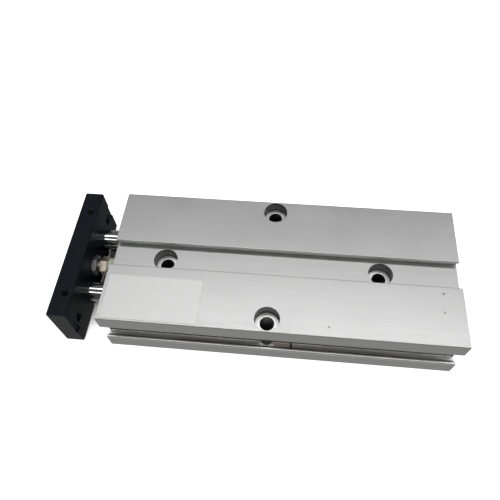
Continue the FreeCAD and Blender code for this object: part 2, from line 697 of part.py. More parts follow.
def make_plate_screw(name, side):
    """The socket head screw that draws a rod against the end plate."""
    piece = Piece("plate_screw_" + name, side * half_pitch, axis_height)
    piece.turn([
        (screw_head_x, 0.0), (screw_head_x, s.screw_head_radius - s.screw_bevel),
        (screw_head_x + s.screw_bevel, s.screw_head_radius), (screw_seat_x, s.screw_head_radius),
        (screw_seat_x, s.screw_radius), (screw_end_x - s.screw_bevel, s.screw_radius),
        (screw_end_x, s.screw_radius - s.screw_bevel), (screw_end_x, 0.0),
    ])
    socket = piece.hexagon("YZ_Plane", screw_head_x, s.screw_socket_flats)
    piece.cut(socket, s.screw_socket_depth)
    return piece


def make_adjusting_bolt():
    """The stroke adjusting bolt, its hexagon head towards the body."""
    piece = Piece("adjusting_bolt", 0.0, axis_height)
    end_x = plate_outer_x + s.bolt_end_inset
    piece.pad(piece.hexagon("YZ_Plane", bolt_head_x, s.bolt_flats), s.bolt_head_height)
    piece.bevel_hexagon(bumper_x, s.bolt_flats, -1.0)
    middle = [(0.0, 0.0)]
    shank = piece.circles("YZ_Plane", bolt_head_x, middle, s.bolt_radius)
    piece.pad(shank, bolt_head_x - end_x, forward=False)
    recess = piece.circles("YZ_Plane", bumper_x, middle, s.bumper_pin_radius)
    piece.cut(recess, s.bumper_pin_length, forward=False)
    return piece


def make_jam_nut():
    """The nut that locks the adjusting bolt in the end plate."""
    piece = Piece("jam_nut", 0.0, axis_height)
    piece.pad(piece.hexagon("YZ_Plane", plate_inner_x, s.jam_nut_flats), s.jam_nut_height)
    piece.bevel_hexagon(jam_nut_end_x, s.jam_nut_flats, -1.0)
    piece.cut(piece.circles("YZ_Plane", plate_inner_x, [(0.0, 0.0)], s.bolt_radius), s.jam_nut_height)
    return piece


def make_stop_bumper():
    """The resilient bumper pinned into the adjusting bolt's head."""
    piece = Piece("stop_bumper", 0.0, axis_height)
    pin_x = bumper_x - s.bumper_pin_length
    piece.turn([
        (pin_x, 0.0), (pin_x, s.bumper_pin_radius), (bumper_x, s.bumper_pin_radius),
        (bumper_x, s.bumper_radius), (bumper_end_x - s.bumper_bevel, s.bumper_radius),
        (bumper_end_x, s.bumper_radius - s.bumper_bevel), (bumper_end_x, 0.0),
    ])
    return piece


def make_label():
    """The thin blank label on the top face, beside the channel."""
    piece = Piece("label")
    low_x = front_x + s.label_from_front
    low_y = s.label_from_side - half_width
    high = (low_x + s.label_length, low_y + s.label_width)
    piece.pad(piece.rectangle("XY_Plane", s.body_height, (low_x, low_y), high), s.label_thickness)
    piece.round_edges(lambda edge: lies_along(edge, 2), s.label_corner)
    return piece


def make_parts():
    """Build every sub-part and return the bodies and solids by label."""
    made = [make_barrel_body().body, make_end_plate().body]
    for name, side in SIDES:
        for maker in (
            make_piston_rod, make_rod_cover, make_rod_bush, make_rod_seal, make_rear_cap,
            make_piston_front, make_piston_seal, make_piston_magnet, make_piston_rear,
            make_wear_ring, make_piston_nut, make_plate_screw,
        ):
            made.append(maker(name, side).body)
        made.append(make_snap_ring("front_ring_" + name, front_ring_x, side).body)
        made.append(make_snap_ring("rear_ring_" + name, cap_end_x, side).body)
        made.append(make_cushion("front_cushion_" + name, cover_end_x, side).body)
        made.append(make_cushion("rear_cushion_" + name, rear_cushion_x, side).body)
        cover_groove_x = cover_end_x - s.oring_groove_inset - s.oring_groove_width
        made.append(make_outer_oring("cover_oring_" + name, cover_groove_x, side))
        made.append(make_outer_oring("cap_oring_" + name, cap_x + s.cap_oring_inset, side))
    for maker in (make_adjusting_bolt, make_jam_nut, make_stop_bumper, make_label):
        made.append(maker().body)
    return made


def check_and_write(made):
    """Stop at the first object that failed, then write each sub-part to its own file."""
    doc.recompute()
    for each in doc.Objects:
        if "Invalid" in each.State or "Error" in each.State:
            raise RuntimeError("%s failed: %s" % (each.Label, each.State))
    for piece in made:
        shape = piece.Shape
        if shape.isNull() or not shape.isValid() or len(shape.Solids) != 1:
            raise RuntimeError("%s is not one valid solid" % piece.Label)
    for piece in made:
        piece.Shape.exportStep("parts/%s.step" % piece.Label)
        print("%-28s %10.2f mm3" % (piece.Label, piece.Shape.Volume))
    print("%d parts, body %.2f mm long" % (len(made), body_length.value))


check_and_write(make_parts())
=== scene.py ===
"""Looks of the guided cylinder: every surface's finish, the threaded and turned details, light and camera.

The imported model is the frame. Lengths are metres, except in names that end in _mm. Materials work in
millimetres on each piece's own coordinates.
"""

import json
import logging
import math
from abc import ABC, abstractmethod
from dataclasses import dataclass, field
from enum import Enum
from functools import cached_property
from typing import Any, Callable, Mapping, Optional, Sequence, Union

import bmesh
import bpy
from mathutils import Matrix, Vector


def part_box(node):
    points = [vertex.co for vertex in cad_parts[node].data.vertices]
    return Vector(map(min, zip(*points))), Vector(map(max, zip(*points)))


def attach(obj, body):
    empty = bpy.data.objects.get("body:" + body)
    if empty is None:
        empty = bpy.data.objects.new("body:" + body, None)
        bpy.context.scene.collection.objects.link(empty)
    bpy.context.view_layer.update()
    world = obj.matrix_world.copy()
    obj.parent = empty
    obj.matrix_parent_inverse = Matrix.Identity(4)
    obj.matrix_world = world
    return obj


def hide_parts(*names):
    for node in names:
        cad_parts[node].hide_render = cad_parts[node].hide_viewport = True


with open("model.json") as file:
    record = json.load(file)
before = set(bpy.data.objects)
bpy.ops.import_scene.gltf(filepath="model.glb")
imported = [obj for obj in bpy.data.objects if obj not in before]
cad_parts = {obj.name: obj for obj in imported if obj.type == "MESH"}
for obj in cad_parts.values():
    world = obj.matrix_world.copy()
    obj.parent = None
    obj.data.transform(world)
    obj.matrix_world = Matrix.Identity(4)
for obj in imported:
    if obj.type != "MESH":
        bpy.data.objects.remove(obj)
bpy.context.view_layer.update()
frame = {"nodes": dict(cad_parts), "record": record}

LOG = logging.getLogger("guided_cylinder")
MM = 0.001
X_AXIS = Vector((1.0, 0.0, 0.0))
Z_AXIS = Vector((0.0, 0.0, 1.0))

NOISE_MIDDLE = 0.5  # the value that a noise wavers about
NEAR_MM = 0.1  # slack round the places of cut edges
FADE_MM = 0.2  # distance over which a mark fades out
SQUARE_START, SQUARE_FULL = 0.6, 0.9  # share of a normal along an axis: starts to count, counts fully
EDGE_START, EDGE_FULL = 0.02, 0.22  # turn of a rounded normal: an edge starts to show, shows fully
BEVEL_SAMPLES = 4  # rays that find the edges beside a point
SKY_SAMPLES = 12  # rays that find how open the sky is over a point

TOUCH = 1e-6  # distance within which a face counts as the end face
THREAD_STEPS = 28  # steps in one turn of a thread
THREAD_FOOT = 0.82  # width of a ridge's foot as a share of the pitch
TRIANGLE_HEIGHT = 1.5  # height of an even triangle as a share of its corners' radius

Triple = tuple[float, float, float]
Colour = tuple[float, float, float]
Pair = tuple[float, float]
Station = tuple[float, float]  # a height and a radius


class CadBody(Enum):
    """The two bodies that the rods' travel moves apart."""

    BARREL = "barrel"
    SLIDE = "slide"


class Side(Enum):
    """The two bores, each named for what lies on its side of the body."""

    PORT = "port_side"
    SLOT = "slot_side"


class Element(Enum):
    """What a selection in edit mode picks: vertices or faces."""

    VERTEX = (True, False, False)
    FACE = (False, False, True)


class Joining(Enum):
    """How one solid is combined with another."""

    CUT = "DIFFERENCE"
    KEEP_COMMON = "INTERSECT"


class Shade:
    """A number that varies over a surface, with arithmetic that adds its own maths nodes."""

    def __init__(self, graph: "Graph", socket: bpy.types.NodeSocket) -> None:
        """Keep the graph and the output socket that carries the number."""
        self.graph = graph
        self.socket = socket

    def _math(self, operation: str, *terms: "Number") -> "Shade":
        """Add one maths node that works on the terms in order."""
        return self.graph.number("ShaderNodeMath", {"operation": operation}, dict(enumerate(terms)))

    def __add__(self, other: "Number") -> "Shade":
        """Give self + other."""
        return self._math("ADD", self, other)

    def __sub__(self, other: "Number") -> "Shade":
        """Give self - other."""
        return self._math("SUBTRACT", self, other)

    def __rsub__(self, other: "Number") -> "Shade":
        """Give other - self."""
        return self._math("SUBTRACT", other, self)

    def __mul__(self, other: "Number") -> "Shade":
        """Give self * other."""
        return self._math("MULTIPLY", self, other)

    def __abs__(self) -> "Shade":
        """Give the size of self without its sign."""
        return self._math("ABSOLUTE", self)

    __radd__ = __add__
    __rmul__ = __mul__

    def root(self) -> "Shade":
        """Give the square root."""
        return self._math("SQRT", self)

    def sine(self) -> "Shade":
        """Give the sine, from -1 to 1."""
        return self._math("SINE", self)

    def swing(self, amount: float) -> "Shade":
        """Centre a noise on 0 and scale it."""
        return (self - NOISE_MIDDLE) * amount

    def rises(self, low: float, high: float) -> "Shade":
        """Go smoothly from 0 at the low value to 1 at the high value.

        Args:
            low: Where the result starts to leave 0.
            high: Where the result has reached 1.

        Returns:
            A mask from 0 to 1.
        """
        reach = {"Value": self, "From Min": low, "From Max": high}
        return self.graph.number("ShaderNodeMapRange", {"interpolation_type": "SMOOTHSTEP"}, reach)

    def falls(self, low: float, high: float) -> "Shade":
        """Go smoothly from 1 at the low value to 0 at the high value."""
        return 1.0 - self.rises(low, high)

    def inside(self, low: float, high: float, soft: float) -> "Shade":
        """Mark values between two limits.

        Args:
            low: Lower limit.
            high: Upper limit.
            soft: Distance outside each limit over which the mask fades out.

        Returns:
            A mask from 0 to 1.
        """
        return self.rises(low - soft, low) * self.falls(high, high + soft)


Number = Union[Shade, float]
Feed = Union[Shade, bpy.types.NodeSocket, float, Colour]


class Graph:
    """The nodes of one material, or of the world, with the measures that finishes work from."""

    def __init__(self, tree: bpy.types.NodeTree) -> None:
        """Keep the node tree that new nodes go into."""
        self.tree = tree

    def node(
        self,
        kind: str,
        settings: Optional[Mapping[str, object]] = None,
        inputs: Optional[Mapping[Union[str, int], Feed]] = None,
    ) -> bpy.types.Node:
        """Add a node, set its settings first and then feed its sockets.

        Args:
            kind: The node's type.
            settings: Values of the node's own properties.
            inputs: Values or links by socket name or number.

        Returns:
            The new node.
        """
        made = self.tree.nodes.new(kind)
        for key, value in (settings or {}).items():
            setattr(made, key, value)
        for key, value in (inputs or {}).items():
            self.feed(made.inputs[key], value)
        return made

    def feed(self, socket: bpy.types.NodeSocket, value: Feed) -> None:
        """Link a socket to a varying value, or set it to a constant one.

        Args:
            socket: The input socket.
            value: A shade, an output socket, a number or a colour.
        """
        source = value.socket if isinstance(value, Shade) else value
        if isinstance(source, bpy.types.NodeSocket):
            self.tree.links.new(source, socket)
        elif socket.type == "RGBA":
            socket.default_value = (*source, 1.0)
        else:
            socket.default_value = source

    def number(
        self,
        kind: str,
        settings: Mapping[str, object],
        inputs: Mapping[Union[str, int], Feed],
        output: int = 0,
    ) -> Shade:
        """Add a node and wrap one of its outputs as a shade."""
        return Shade(self, self.node(kind, settings, inputs).outputs[output])

    @cached_property
    def _coordinates(self) -> bpy.types.Node:
        """Give the one texture coordinate node."""
        return self.node("ShaderNodeTexCoord")

    @cached_property
    def place(self) -> bpy.types.NodeSocket:
        """Give the piece's own coordinates in millimetres, as a vector."""
        source = {0: self._coordinates.outputs["Object"], "Scale": 1.0 / MM}
        return self.node("ShaderNodeVectorMath", {"operation": "SCALE"}, source).outputs[0]

    def split(self, vector: bpy.types.NodeSocket) -> tuple[Shade, Shade, Shade]:
        """Split a vector into its three numbers."""
        parts = self.node("ShaderNodeSeparateXYZ", None, {0: vector}).outputs
        return Shade(self, parts[0]), Shade(self, parts[1]), Shade(self, parts[2])

    @cached_property
    def along(self) -> tuple[Shade, Shade, Shade]:
        """Give x, y and z in millimetres."""
        return self.split(self.place)

    @cached_property
    def facing(self) -> tuple[Shade, Shade, Shade]:
        """Give how far the surface faces along X, Y and Z, from -1 to 1."""
        return self.split(self._coordinates.outputs["Normal"])

    def square_to(self, axis: int) -> Shade:
        """Mark the faces that are square to an axis: 0 for X, 1 for Y, 2 for Z."""
        return abs(self.facing[axis]).rises(SQUARE_START, SQUARE_FULL)

    def noise(self, per_mm: Triple, detail: float = 2.0, roughness: float = 0.5) -> Shade:
        """Give cloudy noise about 0.5.

        Args:
            per_mm: Cells per millimetre along X, Y and Z.
            detail: Octaves of finer noise.
            roughness: Strength of the finer octaves.

        Returns:
            The noise.
        """
        source = {0: self.place, 1: per_mm}
        stretched = self.node("ShaderNodeVectorMath", {"operation": "MULTIPLY"}, source).outputs[0]
        inputs = {"Vector": stretched, "Scale": 1.0, "Detail": detail, "Roughness": roughness}
        return self.number("ShaderNodeTexNoise", {}, inputs)

    def even_noise(self, cell_mm: float, detail: float = 2.0) -> Shade:
        """Give noise of one cell size in all directions."""
        return self.noise((1.0 / cell_mm, 1.0 / cell_mm, 1.0 / cell_mm), detail)

    def specks(self, cell_mm: float, radius: float) -> Shade:
        """Mark scattered round specks.

        Args:
            cell_mm: Mean distance between specks.
            radius: Radius of a speck as a share of that distance.

        Returns:
            A mask from 0 to 1.
        """
        inputs = {"Vector": self.place, "Scale": 1.0 / cell_mm}
        return self.number("ShaderNodeTexVoronoi", {}, inputs).falls(radius * 0.5, radius)

    def from_axis(self, axis: "Axis") -> Shade:
        """Measure from an axis along X, or from its mirror image beyond the middle plane.

        Args:
            axis: The axis.

        Returns:
            The distance in millimetres.
        """
        y = abs(self.along[1]) - axis.offset_mm
        z = self.along[2] - axis.height_mm
        return (y * y + z * z).root()

    def blend(self, factor: Number, first: Feed, second: Feed) -> bpy.types.NodeSocket:
        """Mix two colours.

        Args:
            factor: 0 gives the first colour and 1 the second.
            first: A colour or a colour socket.
            second: A colour or a colour socket.

        Returns:
            The mixed colour's socket.
        """
        mixer = self.node("ShaderNodeMix", {"data_type": "RGBA"}, {0: factor, 6: first, 7: second})
        return mixer.outputs[2]

    def rounded(self, radius_mm: float) -> bpy.types.NodeSocket:
        """Give normals that are rounded off beside sharp edges."""
        return self.node("ShaderNodeBevel", {"samples": BEVEL_SAMPLES}, {"Radius": radius_mm * MM}).outputs[0]

    def edge(self, rounded: bpy.types.NodeSocket) -> Shade:
        """Mark sharp edges, from how far the rounded normals turn away from the true ones.

        Args:
            rounded: The rounded normals.

        Returns:
            A mask from 0 to 1.
        """
        true = self.node("ShaderNodeNewGeometry").outputs["Normal"]
        turned = self.node("ShaderNodeVectorMath", {"operation": "DOT_PRODUCT"}, {0: rounded, 1: true})
        return (1.0 - Shade(self, turned.outputs["Value"])).rises(EDGE_START, EDGE_FULL)

    def bump(self, height_mm: Shade, normal: Optional[bpy.types.NodeSocket] = None) -> bpy.types.NodeSocket:
        """Tilt normals by a height.

        Args:
            height_mm: Height over the surface, in millimetres.
            normal: Normals to start from.

        Returns:
            The socket of the tilted normals.
        """
        inputs: dict[Union[str, int], Feed] = {"Height": height_mm, "Distance": MM, "Strength": 1.0}
        if normal is not None:
            inputs["Normal"] = normal
        return self.node("ShaderNodeBump", None, inputs).outputs[0]


@dataclass(frozen=True)
class Axis:
    """An axis along X: its distance from the middle plane and its height over the underside."""

    offset_mm: float
    height_mm: float


@dataclass(frozen=True)
class Finish(ABC):
    """A finish that can be laid on pieces; its colour is linear red, green and blue."""

    slot: str
    colour: Colour
    roughness: float

    def make(self) -> bpy.types.Material:
        """Build the material.

        Returns:
            The material, with those sockets of its shader fed that the finish gives.
        """
        material = bpy.data.materials.new(self.slot + "_finish")
        material.use_nodes = True
        graph = Graph(material.node_tree)
        shader = material.node_tree.nodes["Principled BSDF"]
        for name, value in self.dress(graph).items():
            graph.feed(shader.inputs[name], value)
        return material

    @abstractmethod
    def dress(self, graph: Graph) -> dict[str, Feed]:
        """Add the finish's nodes.

        Args:
            graph: Where the nodes go.

        Returns:
            What feeds each socket of the shader, by the socket's name.
        """

    def shaded(self, share: float) -> Colour:
        """Give the finish's colour, made lighter or darker by a share."""
        red, green, blue = self.colour
        return (red * share, green * share, blue * share)


@dataclass(frozen=True)
class Nick:
    """A small dent in the top face: its place and radius in millimetres."""

    x_mm: float
    y_mm: float
    radius_mm: float


@dataclass(frozen=True)
class SlotStainAndPaintedLight:
    """A mark in the side slot, for real stains such as oil and for painted light and shade: two corners of
    its place, and its look.
    """

    low_mm: Triple
    high_mm: Triple
    fade_mm: float
    colour: Colour
    strength: float
    patchy: bool = False


@dataclass(frozen=True)
class MountingHoles:
    """One pair of counterbored holes, mirrored in X or in Y: place, seat and radii in millimetres."""

    x_mm: float
    y_mm: float
    seat_mm: float
    hole_radius_mm: float
    seat_radius_mm: float


@dataclass(frozen=True)
class DrawnAluminium(Finish):
    """Satin anodised extrusion: fine lines along X, milled ends, cut seats, soft edges, a stained slot, with
    painted shade in the holes and painted light and shade in the slot.
    """

    nicks: tuple[Nick, ...]
    slot_stains_and_painted_light: tuple[SlotStainAndPaintedLight, ...]
    holes: tuple[MountingHoles, ...]
    top_mm: float
    mill_centre: Axis
    edge_radius_mm: float = 0.22
    line_depth_mm: float = 0.0016
    grain_depth_mm: float = 0.0016
    mill_depth_mm: float = 0.0028
    mill_feed_mm: float = 0.55
    bore_feed_mm: float = 0.8
    bore_mark_mm: float = 0.012
    nick_depth_mm: float = 0.06
    # width and fade of the ring of painted shade round the foot of each counterbore wall
    shade_ring_mm: float = 0.5
    shade_ring_fade_mm: float = 0.15
    # depth down each hole over which its painted light fades out
    painted_light_depth_mm: float = 8.0

    def _nick_mask(self, graph: Graph) -> Shade:
        """Mark the nicks, each a little ragged.

        Args:
            graph: Where the nodes go.

        Returns:
            A mask from 0 to 1.
        """
        x, y, z = graph.along
        ragged = graph.even_noise(0.35) * 0.9
        mask: Number = 0.0
        for nick in self.nicks:
            across = x - nick.x_mm
            beside = y - nick.y_mm
            distance = (across * across + beside * beside).root() + ragged - 0.45
            mask = distance.falls(nick.radius_mm * 0.4, nick.radius_mm) + mask
        return mask * z.rises(self.top_mm - NEAR_MM, self.top_mm - NEAR_MM / 2.0)

    @staticmethod
    def _slot_stain_and_painted_light_mask(graph: Graph, mark: SlotStainAndPaintedLight) -> Shade:
        """Mark one stretch of the side slot.

        Args:
            graph: Where the nodes go.
            mark: The stretch and its strength.

        Returns:
            A mask from 0 to the mark's strength.
        """
        fades = (mark.fade_mm, FADE_MM, FADE_MM)
        mask: Number = mark.strength
        for place, low, high, fade in zip(graph.along, mark.low_mm, mark.high_mm, fades):
            mask = place.inside(low, high, fade) * mask
        if mark.patchy:
            mask = mask * graph.noise((0.05, 0.5, 0.5), 3.0).rises(0.34, 0.6)
        return mask

    def _cut_masks(self, graph: Graph) -> tuple[Number, Number, Number, Number]:
        """Mark the surfaces of the counterbored holes.

        Args:
            graph: Where the nodes go.

        Returns:
            Masks of the counterbores' walls with a ring round their foot, for painted shade; their seats; the
            holes' walls, for painted shade; and the holes' upper ends, for painted light.
        """
        x, y, z = graph.along
        upright = 1.0 - abs(graph.facing[2]).rises(0.4, 0.8)
        wall: Number = 0.0
        seat: Number = 0.0
        hole_shade: Number = 0.0
        mouth: Number = 0.0
        for holes in self.holes:
            seat_mm = holes.seat_mm
            rim_mm = holes.seat_radius_mm + NEAR_MM
            hole_mm = holes.hole_radius_mm + NEAR_MM
            shade_ring_mm = holes.seat_radius_mm - self.shade_ring_mm
            across = abs(x) - holes.x_mm
            beside = abs(y) - holes.y_mm
            distance = (across * across + beside * beside).root()
            in_seat = distance.falls(rim_mm, rim_mm + FADE_MM)
            level = in_seat * (1.0 - upright) * z.inside(seat_mm - NEAR_MM, seat_mm + NEAR_MM, FADE_MM)
            # painted shade: the counterbore walls and a ring round their foot are darkened
            foot = distance.rises(shade_ring_mm, shade_ring_mm + self.shade_ring_fade_mm)
            wall = in_seat * upright * z.rises(seat_mm - 0.4, seat_mm - NEAR_MM) + level * foot + wall
            seat = level * (1.0 - foot) + seat
            # painted shade on the holes' walls, with painted light towards their upper ends
            in_hole = distance.falls(hole_mm, hole_mm + FADE_MM) * upright
            hole_shade = in_hole + hole_shade
            mouth = in_hole * z.rises(seat_mm - self.painted_light_depth_mm, seat_mm) + mouth
        return wall, seat, hole_shade, mouth

    def dress(self, graph: Graph) -> dict[str, Feed]:
        """Add the finish's nodes.

        Args:
            graph: Where the nodes go.

        Returns:
            What feeds each socket of the shader, by the socket's name.
        """
        milled = graph.square_to(0)
        lines = graph.noise((0.02, 5.5, 5.5), 3.0, 0.6)
        broad_lines = graph.noise((0.006, 0.7, 0.7), 2.0)
        grain = graph.even_noise(0.16, 3.0)
        clouds = graph.even_noise(22.0, 3.0)
        rubs = graph.noise((0.05, 0.22, 0.22), 4.0, 0.65).rises(0.56, 0.72)
        feed_rings = (graph.from_axis(self.mill_centre) * (math.tau / self.mill_feed_mm)).sine()
        bore_rings = (graph.along[2] * (math.tau / self.bore_feed_mm)).sine()
        rounded = graph.rounded(self.edge_radius_mm)
        edge = graph.edge(rounded)
        nicks = self._nick_mask(graph)
        wall, seat, hole_shade, mouth = self._cut_masks(graph)

        tone = lines.swing(0.4) + broad_lines.swing(0.5) + clouds.swing(0.8) + 0.5
        colour = graph.blend(tone, self.shaded(0.92), self.shaded(1.08))
        layers = (
            (milled * 0.5, 0.86),
            (rubs * 0.12, 0.8),
            # painted shade: the counterbore walls and the ring at their foot
            (wall * (bore_rings * 0.1 + 0.88), 0.1),
            # painted shade on the holes' walls, and painted light on their upper ends
            (hole_shade * 0.95, 0.14),
            (mouth * 0.8, 0.85),
            (seat * 0.9, 1.42),
            (edge * 0.6, 1.22),
        )
        for mask, share in layers:
            colour = graph.blend(mask, colour, self.shaded(share))
        # the slot's marks: real oil stains, and painted light and shade
        for mark in self.slot_stains_and_painted_light:
            colour = graph.blend(self._slot_stain_and_painted_light_mask(graph, mark), colour, mark.colour)
        colour = graph.blend(nicks * 0.75, colour, self.shaded(0.16))

        shine = clouds.swing(0.12) + lines.swing(0.1) + rubs * 0.05 - edge * 0.06 + self.roughness
        height = lines.swing(2.0 * self.line_depth_mm) * (1.0 - milled)
        height = height + grain.swing(2.0 * self.grain_depth_mm)
        height = height + feed_rings * milled * self.mill_depth_mm - nicks * self.nick_depth_mm
        height = height + bore_rings * wall * self.bore_mark_mm
        return {
            "Base Color": colour,
            "Metallic": 1.0,
            "Roughness": shine,
            "Normal": graph.bump(height, rounded),
        }


@dataclass(frozen=True)
class DyedAluminium(Finish):
    """Black anodised plate: blasted grain, sawn and duller ends made lighter, partly as painted reflected
    light, edges worn paler, dust and faint scuffs.
    """

    sawn_end_and_sheen_colour: Colour
    worn_colour: Colour
    dust_colour: Colour = (0.32, 0.32, 0.31)
    edge_radius_mm: float = 0.2
    grain_depth_mm: float = 0.003
    saw_depth_mm: float = 0.003

    def dress(self, graph: Graph) -> dict[str, Feed]:
        """Add the finish's nodes.

        Args:
            graph: Where the nodes go.

        Returns:
            What feeds each socket of the shader, by the socket's name.
        """
        sawn = graph.square_to(1)
        grain = graph.even_noise(0.14, 3.0)
        clouds = graph.even_noise(9.0, 3.0)
        saw_lines = graph.noise((3.2, 0.1, 0.25), 3.0, 0.6)
        scuffs = graph.noise((0.5, 0.06, 1.4), 4.0, 0.7).rises(0.61, 0.74)
        dust = graph.specks(2.1, 0.055)
        rounded = graph.rounded(self.edge_radius_mm)
        edge = graph.edge(rounded)
        wear = edge * graph.even_noise(1.1, 3.0).rises(0.38, 0.66)

        colour = graph.blend(clouds.swing(1.4) + 0.5, self.shaded(0.78), self.shaded(1.25))
        # the sawn ends are lighter: their duller sawn finish, and painted light reflected from the floor
        colour = graph.blend(sawn * (saw_lines.swing(0.8) + 0.75), colour, self.sawn_end_and_sheen_colour)
        colour = graph.blend(scuffs * 0.18, colour, self.worn_colour)
        colour = graph.blend(edge * 0.25 + wear * 0.4, colour, self.worn_colour)
        colour = graph.blend(dust * 0.22, colour, self.dust_colour)

        shine = clouds.swing(0.12) + grain.swing(0.08) + sawn * 0.12 - scuffs * 0.06 + self.roughness
        height = grain.swing(2.0 * self.grain_depth_mm) + saw_lines.swing(2.0 * self.saw_depth_mm) * sawn
        return {
            "Base Color": colour,
            "Metallic": 0.0,
            "Specular IOR Level": 0.16,
            "Roughness": shine,
            "Normal": graph.bump(height, rounded),
        }


@dataclass(frozen=True)
class HardChrome(Finish):
    """Ground and hard chromed rod: faint grinding marks round it, a thin uneven film of oil, dust."""

    oil_colour: Colour
    dust_colour: Colour = (0.35, 0.34, 0.32)
    edge_radius_mm: float = 0.15
    grind_depth_mm: float = 0.0002

    def dress(self, graph: Graph) -> dict[str, Feed]:
        """Add the finish's nodes.

        Args:
            graph: Where the nodes go.

        Returns:
            What feeds each socket of the shader, by the socket's name.
        """
        grinding = graph.noise((7.0, 0.12, 0.12), 3.0, 0.6)
        film = graph.noise((0.06, 0.25, 0.25), 3.0).rises(0.42, 0.68)
        dust = graph.specks(1.7, 0.04)
        rounded = graph.rounded(self.edge_radius_mm)
        colour = graph.blend(film * 0.3, self.colour, self.oil_colour)
        colour = graph.blend(dust * 0.25, colour, self.dust_colour)
        return {
            "Base Color": colour,
            "Metallic": 1.0,
            "Roughness": grinding.swing(0.06) + film * 0.07 + dust * 0.15 + self.roughness,
            "Normal": graph.bump(grinding.swing(2.0 * self.grind_depth_mm), rounded),
        }


@dataclass(frozen=True)
class PlatedSteel(Finish):
    """Cold formed and plated steel: mottled plating, brighter worn edges, grain and light tool marks."""

    worn_colour: Colour
    dull_colour: Colour
    metallic: float = 1.0
    edge_radius_mm: float = 0.18
    mark_depth_mm: float = 0.002

    def dress(self, graph: Graph) -> dict[str, Feed]:
        """Add the finish's nodes.

        Args:
            graph: Where the nodes go.

        Returns:
            What feeds each socket of the shader, by the socket's name.
        """
        mottle = graph.even_noise(0.9, 4.0)
        grain = graph.even_noise(0.11, 2.0)
        marks = graph.noise((0.9, 3.4, 3.4), 3.0, 0.65)
        rounded = graph.rounded(self.edge_radius_mm)
        edge = graph.edge(rounded)
        colour = graph.blend(mottle.rises(0.35, 0.65), self.dull_colour, self.colour)
        colour = graph.blend(edge * 0.7, colour, self.worn_colour)
        height = grain.swing(2.0 * self.mark_depth_mm) + marks.swing(2.0 * self.mark_depth_mm)
        return {
            "Base Color": colour,
            "Metallic": self.metallic,
            "Roughness": mottle.swing(0.24) + marks.swing(0.12) - edge * 0.08 + self.roughness,
            "Normal": graph.bump(height, rounded),
        }


@dataclass(frozen=True)
class TurnedMetal(Finish):
    """Lathe turned part: rings on its faces and fine thread-like marks along it, with oil in the marks."""

    axis: Axis
    mark_colour: Colour
    feed_mm: float = 0.22
    mark_depth_mm: float = 0.0022
    edge_radius_mm: float = 0.16
    pores: float = 0.0
    pore_depth_mm: float = 0.01

    def dress(self, graph: Graph) -> dict[str, Feed]:
        """Add the finish's nodes.

        Args:
            graph: Where the nodes go.

        Returns:
            What feeds each socket of the shader, by the socket's name.
        """
        flat = graph.square_to(0)
        drift = graph.even_noise(1.6, 2.0) * 0.08
        rings = ((graph.from_axis(self.axis) + drift) * (math.tau / self.feed_mm)).sine()
        turns = ((graph.along[0] + drift) * (math.tau / self.feed_mm)).sine()
        marks = rings * flat + turns * (1.0 - flat)
        clouds = graph.even_noise(2.8, 3.0)
        pits = graph.specks(0.34, 0.3) * self.pores
        rounded = graph.rounded(self.edge_radius_mm)
        edge = graph.edge(rounded)
        oil = (marks * 0.5 + 0.5) * 0.22 + clouds.swing(0.3) + pits * 0.6
        colour = graph.blend(oil, self.colour, self.mark_colour)
        colour = graph.blend(edge * 0.35, colour, self.shaded(1.15))
        return {
            "Base Color": colour,
            "Metallic": 1.0,
            "Roughness": clouds.swing(0.16) + pits * 0.2 + self.roughness,
            "Normal": graph.bump(marks * self.mark_depth_mm - pits * self.pore_depth_mm, rounded),
        }


@dataclass(frozen=True)
class Elastomer(Finish):
    """Moulded rubber or cast urethane: slight mottling, a fine skin, paler dusty edges and clinging dust."""

    dust_colour: Colour
    dust: float = 0.2
    translucent: float = 0.0
    glow_colour: Colour = (1.0, 0.9, 0.6)
    glow_depth_mm: float = 1.2
    edge_radius_mm: float = 0.2
    skin_depth_mm: float = 0.003

    def dress(self, graph: Graph) -> dict[str, Feed]:
        """Add the finish's nodes.

        Args:
            graph: Where the nodes go.

        Returns:
            What feeds each socket of the shader, by the socket's name.
        """
        mottle = graph.even_noise(1.4, 4.0)
        skin = graph.even_noise(0.12, 3.0)
        rounded = graph.rounded(self.edge_radius_mm)
        edge = graph.edge(rounded)
        motes = graph.specks(0.8, 0.09)
        colour = graph.blend(mottle.swing(1.2) + 0.5, self.shaded(0.85), self.shaded(1.12))
        colour = graph.blend(edge * self.dust + motes * self.dust, colour, self.dust_colour)
        return {
            "Base Color": colour,
            "Metallic": 0.0,
            "Roughness": mottle.swing(0.2) + motes * 0.15 + self.roughness,
            "Subsurface Weight": self.translucent,
            "Subsurface Radius": self.glow_colour,
            "Subsurface Scale": self.glow_depth_mm * MM,
            "Normal": graph.bump(skin.swing(2.0 * self.skin_depth_mm), rounded),
        }


@dataclass(frozen=True)
class FilledPlastic(Finish):
    """Bonded magnet or bearing plastic: granular filler, slightly polished where it rubs."""

    grain_colour: Colour
    grain_mm: float = 0.3
    grain_depth_mm: float = 0.005
    edge_radius_mm: float = 0.15

    def dress(self, graph: Graph) -> dict[str, Feed]:
        """Add the finish's nodes.

        Args:
            graph: Where the nodes go.

        Returns:
            What feeds each socket of the shader, by the socket's name.
        """
        filler = graph.even_noise(self.grain_mm, 3.0)
        clouds = graph.even_noise(3.0, 2.0)
        rounded = graph.rounded(self.edge_radius_mm)
        rubbed = graph.edge(rounded)
        return {
            "Base Color": graph.blend(filler.rises(0.5, 0.66), self.colour, self.grain_colour),
            "Metallic": 0.0,
            "Roughness": clouds.swing(0.15) - rubbed * 0.12 + self.roughness,
            "Normal": graph.bump(filler.swing(2.0 * self.grain_depth_mm), rounded),
        }


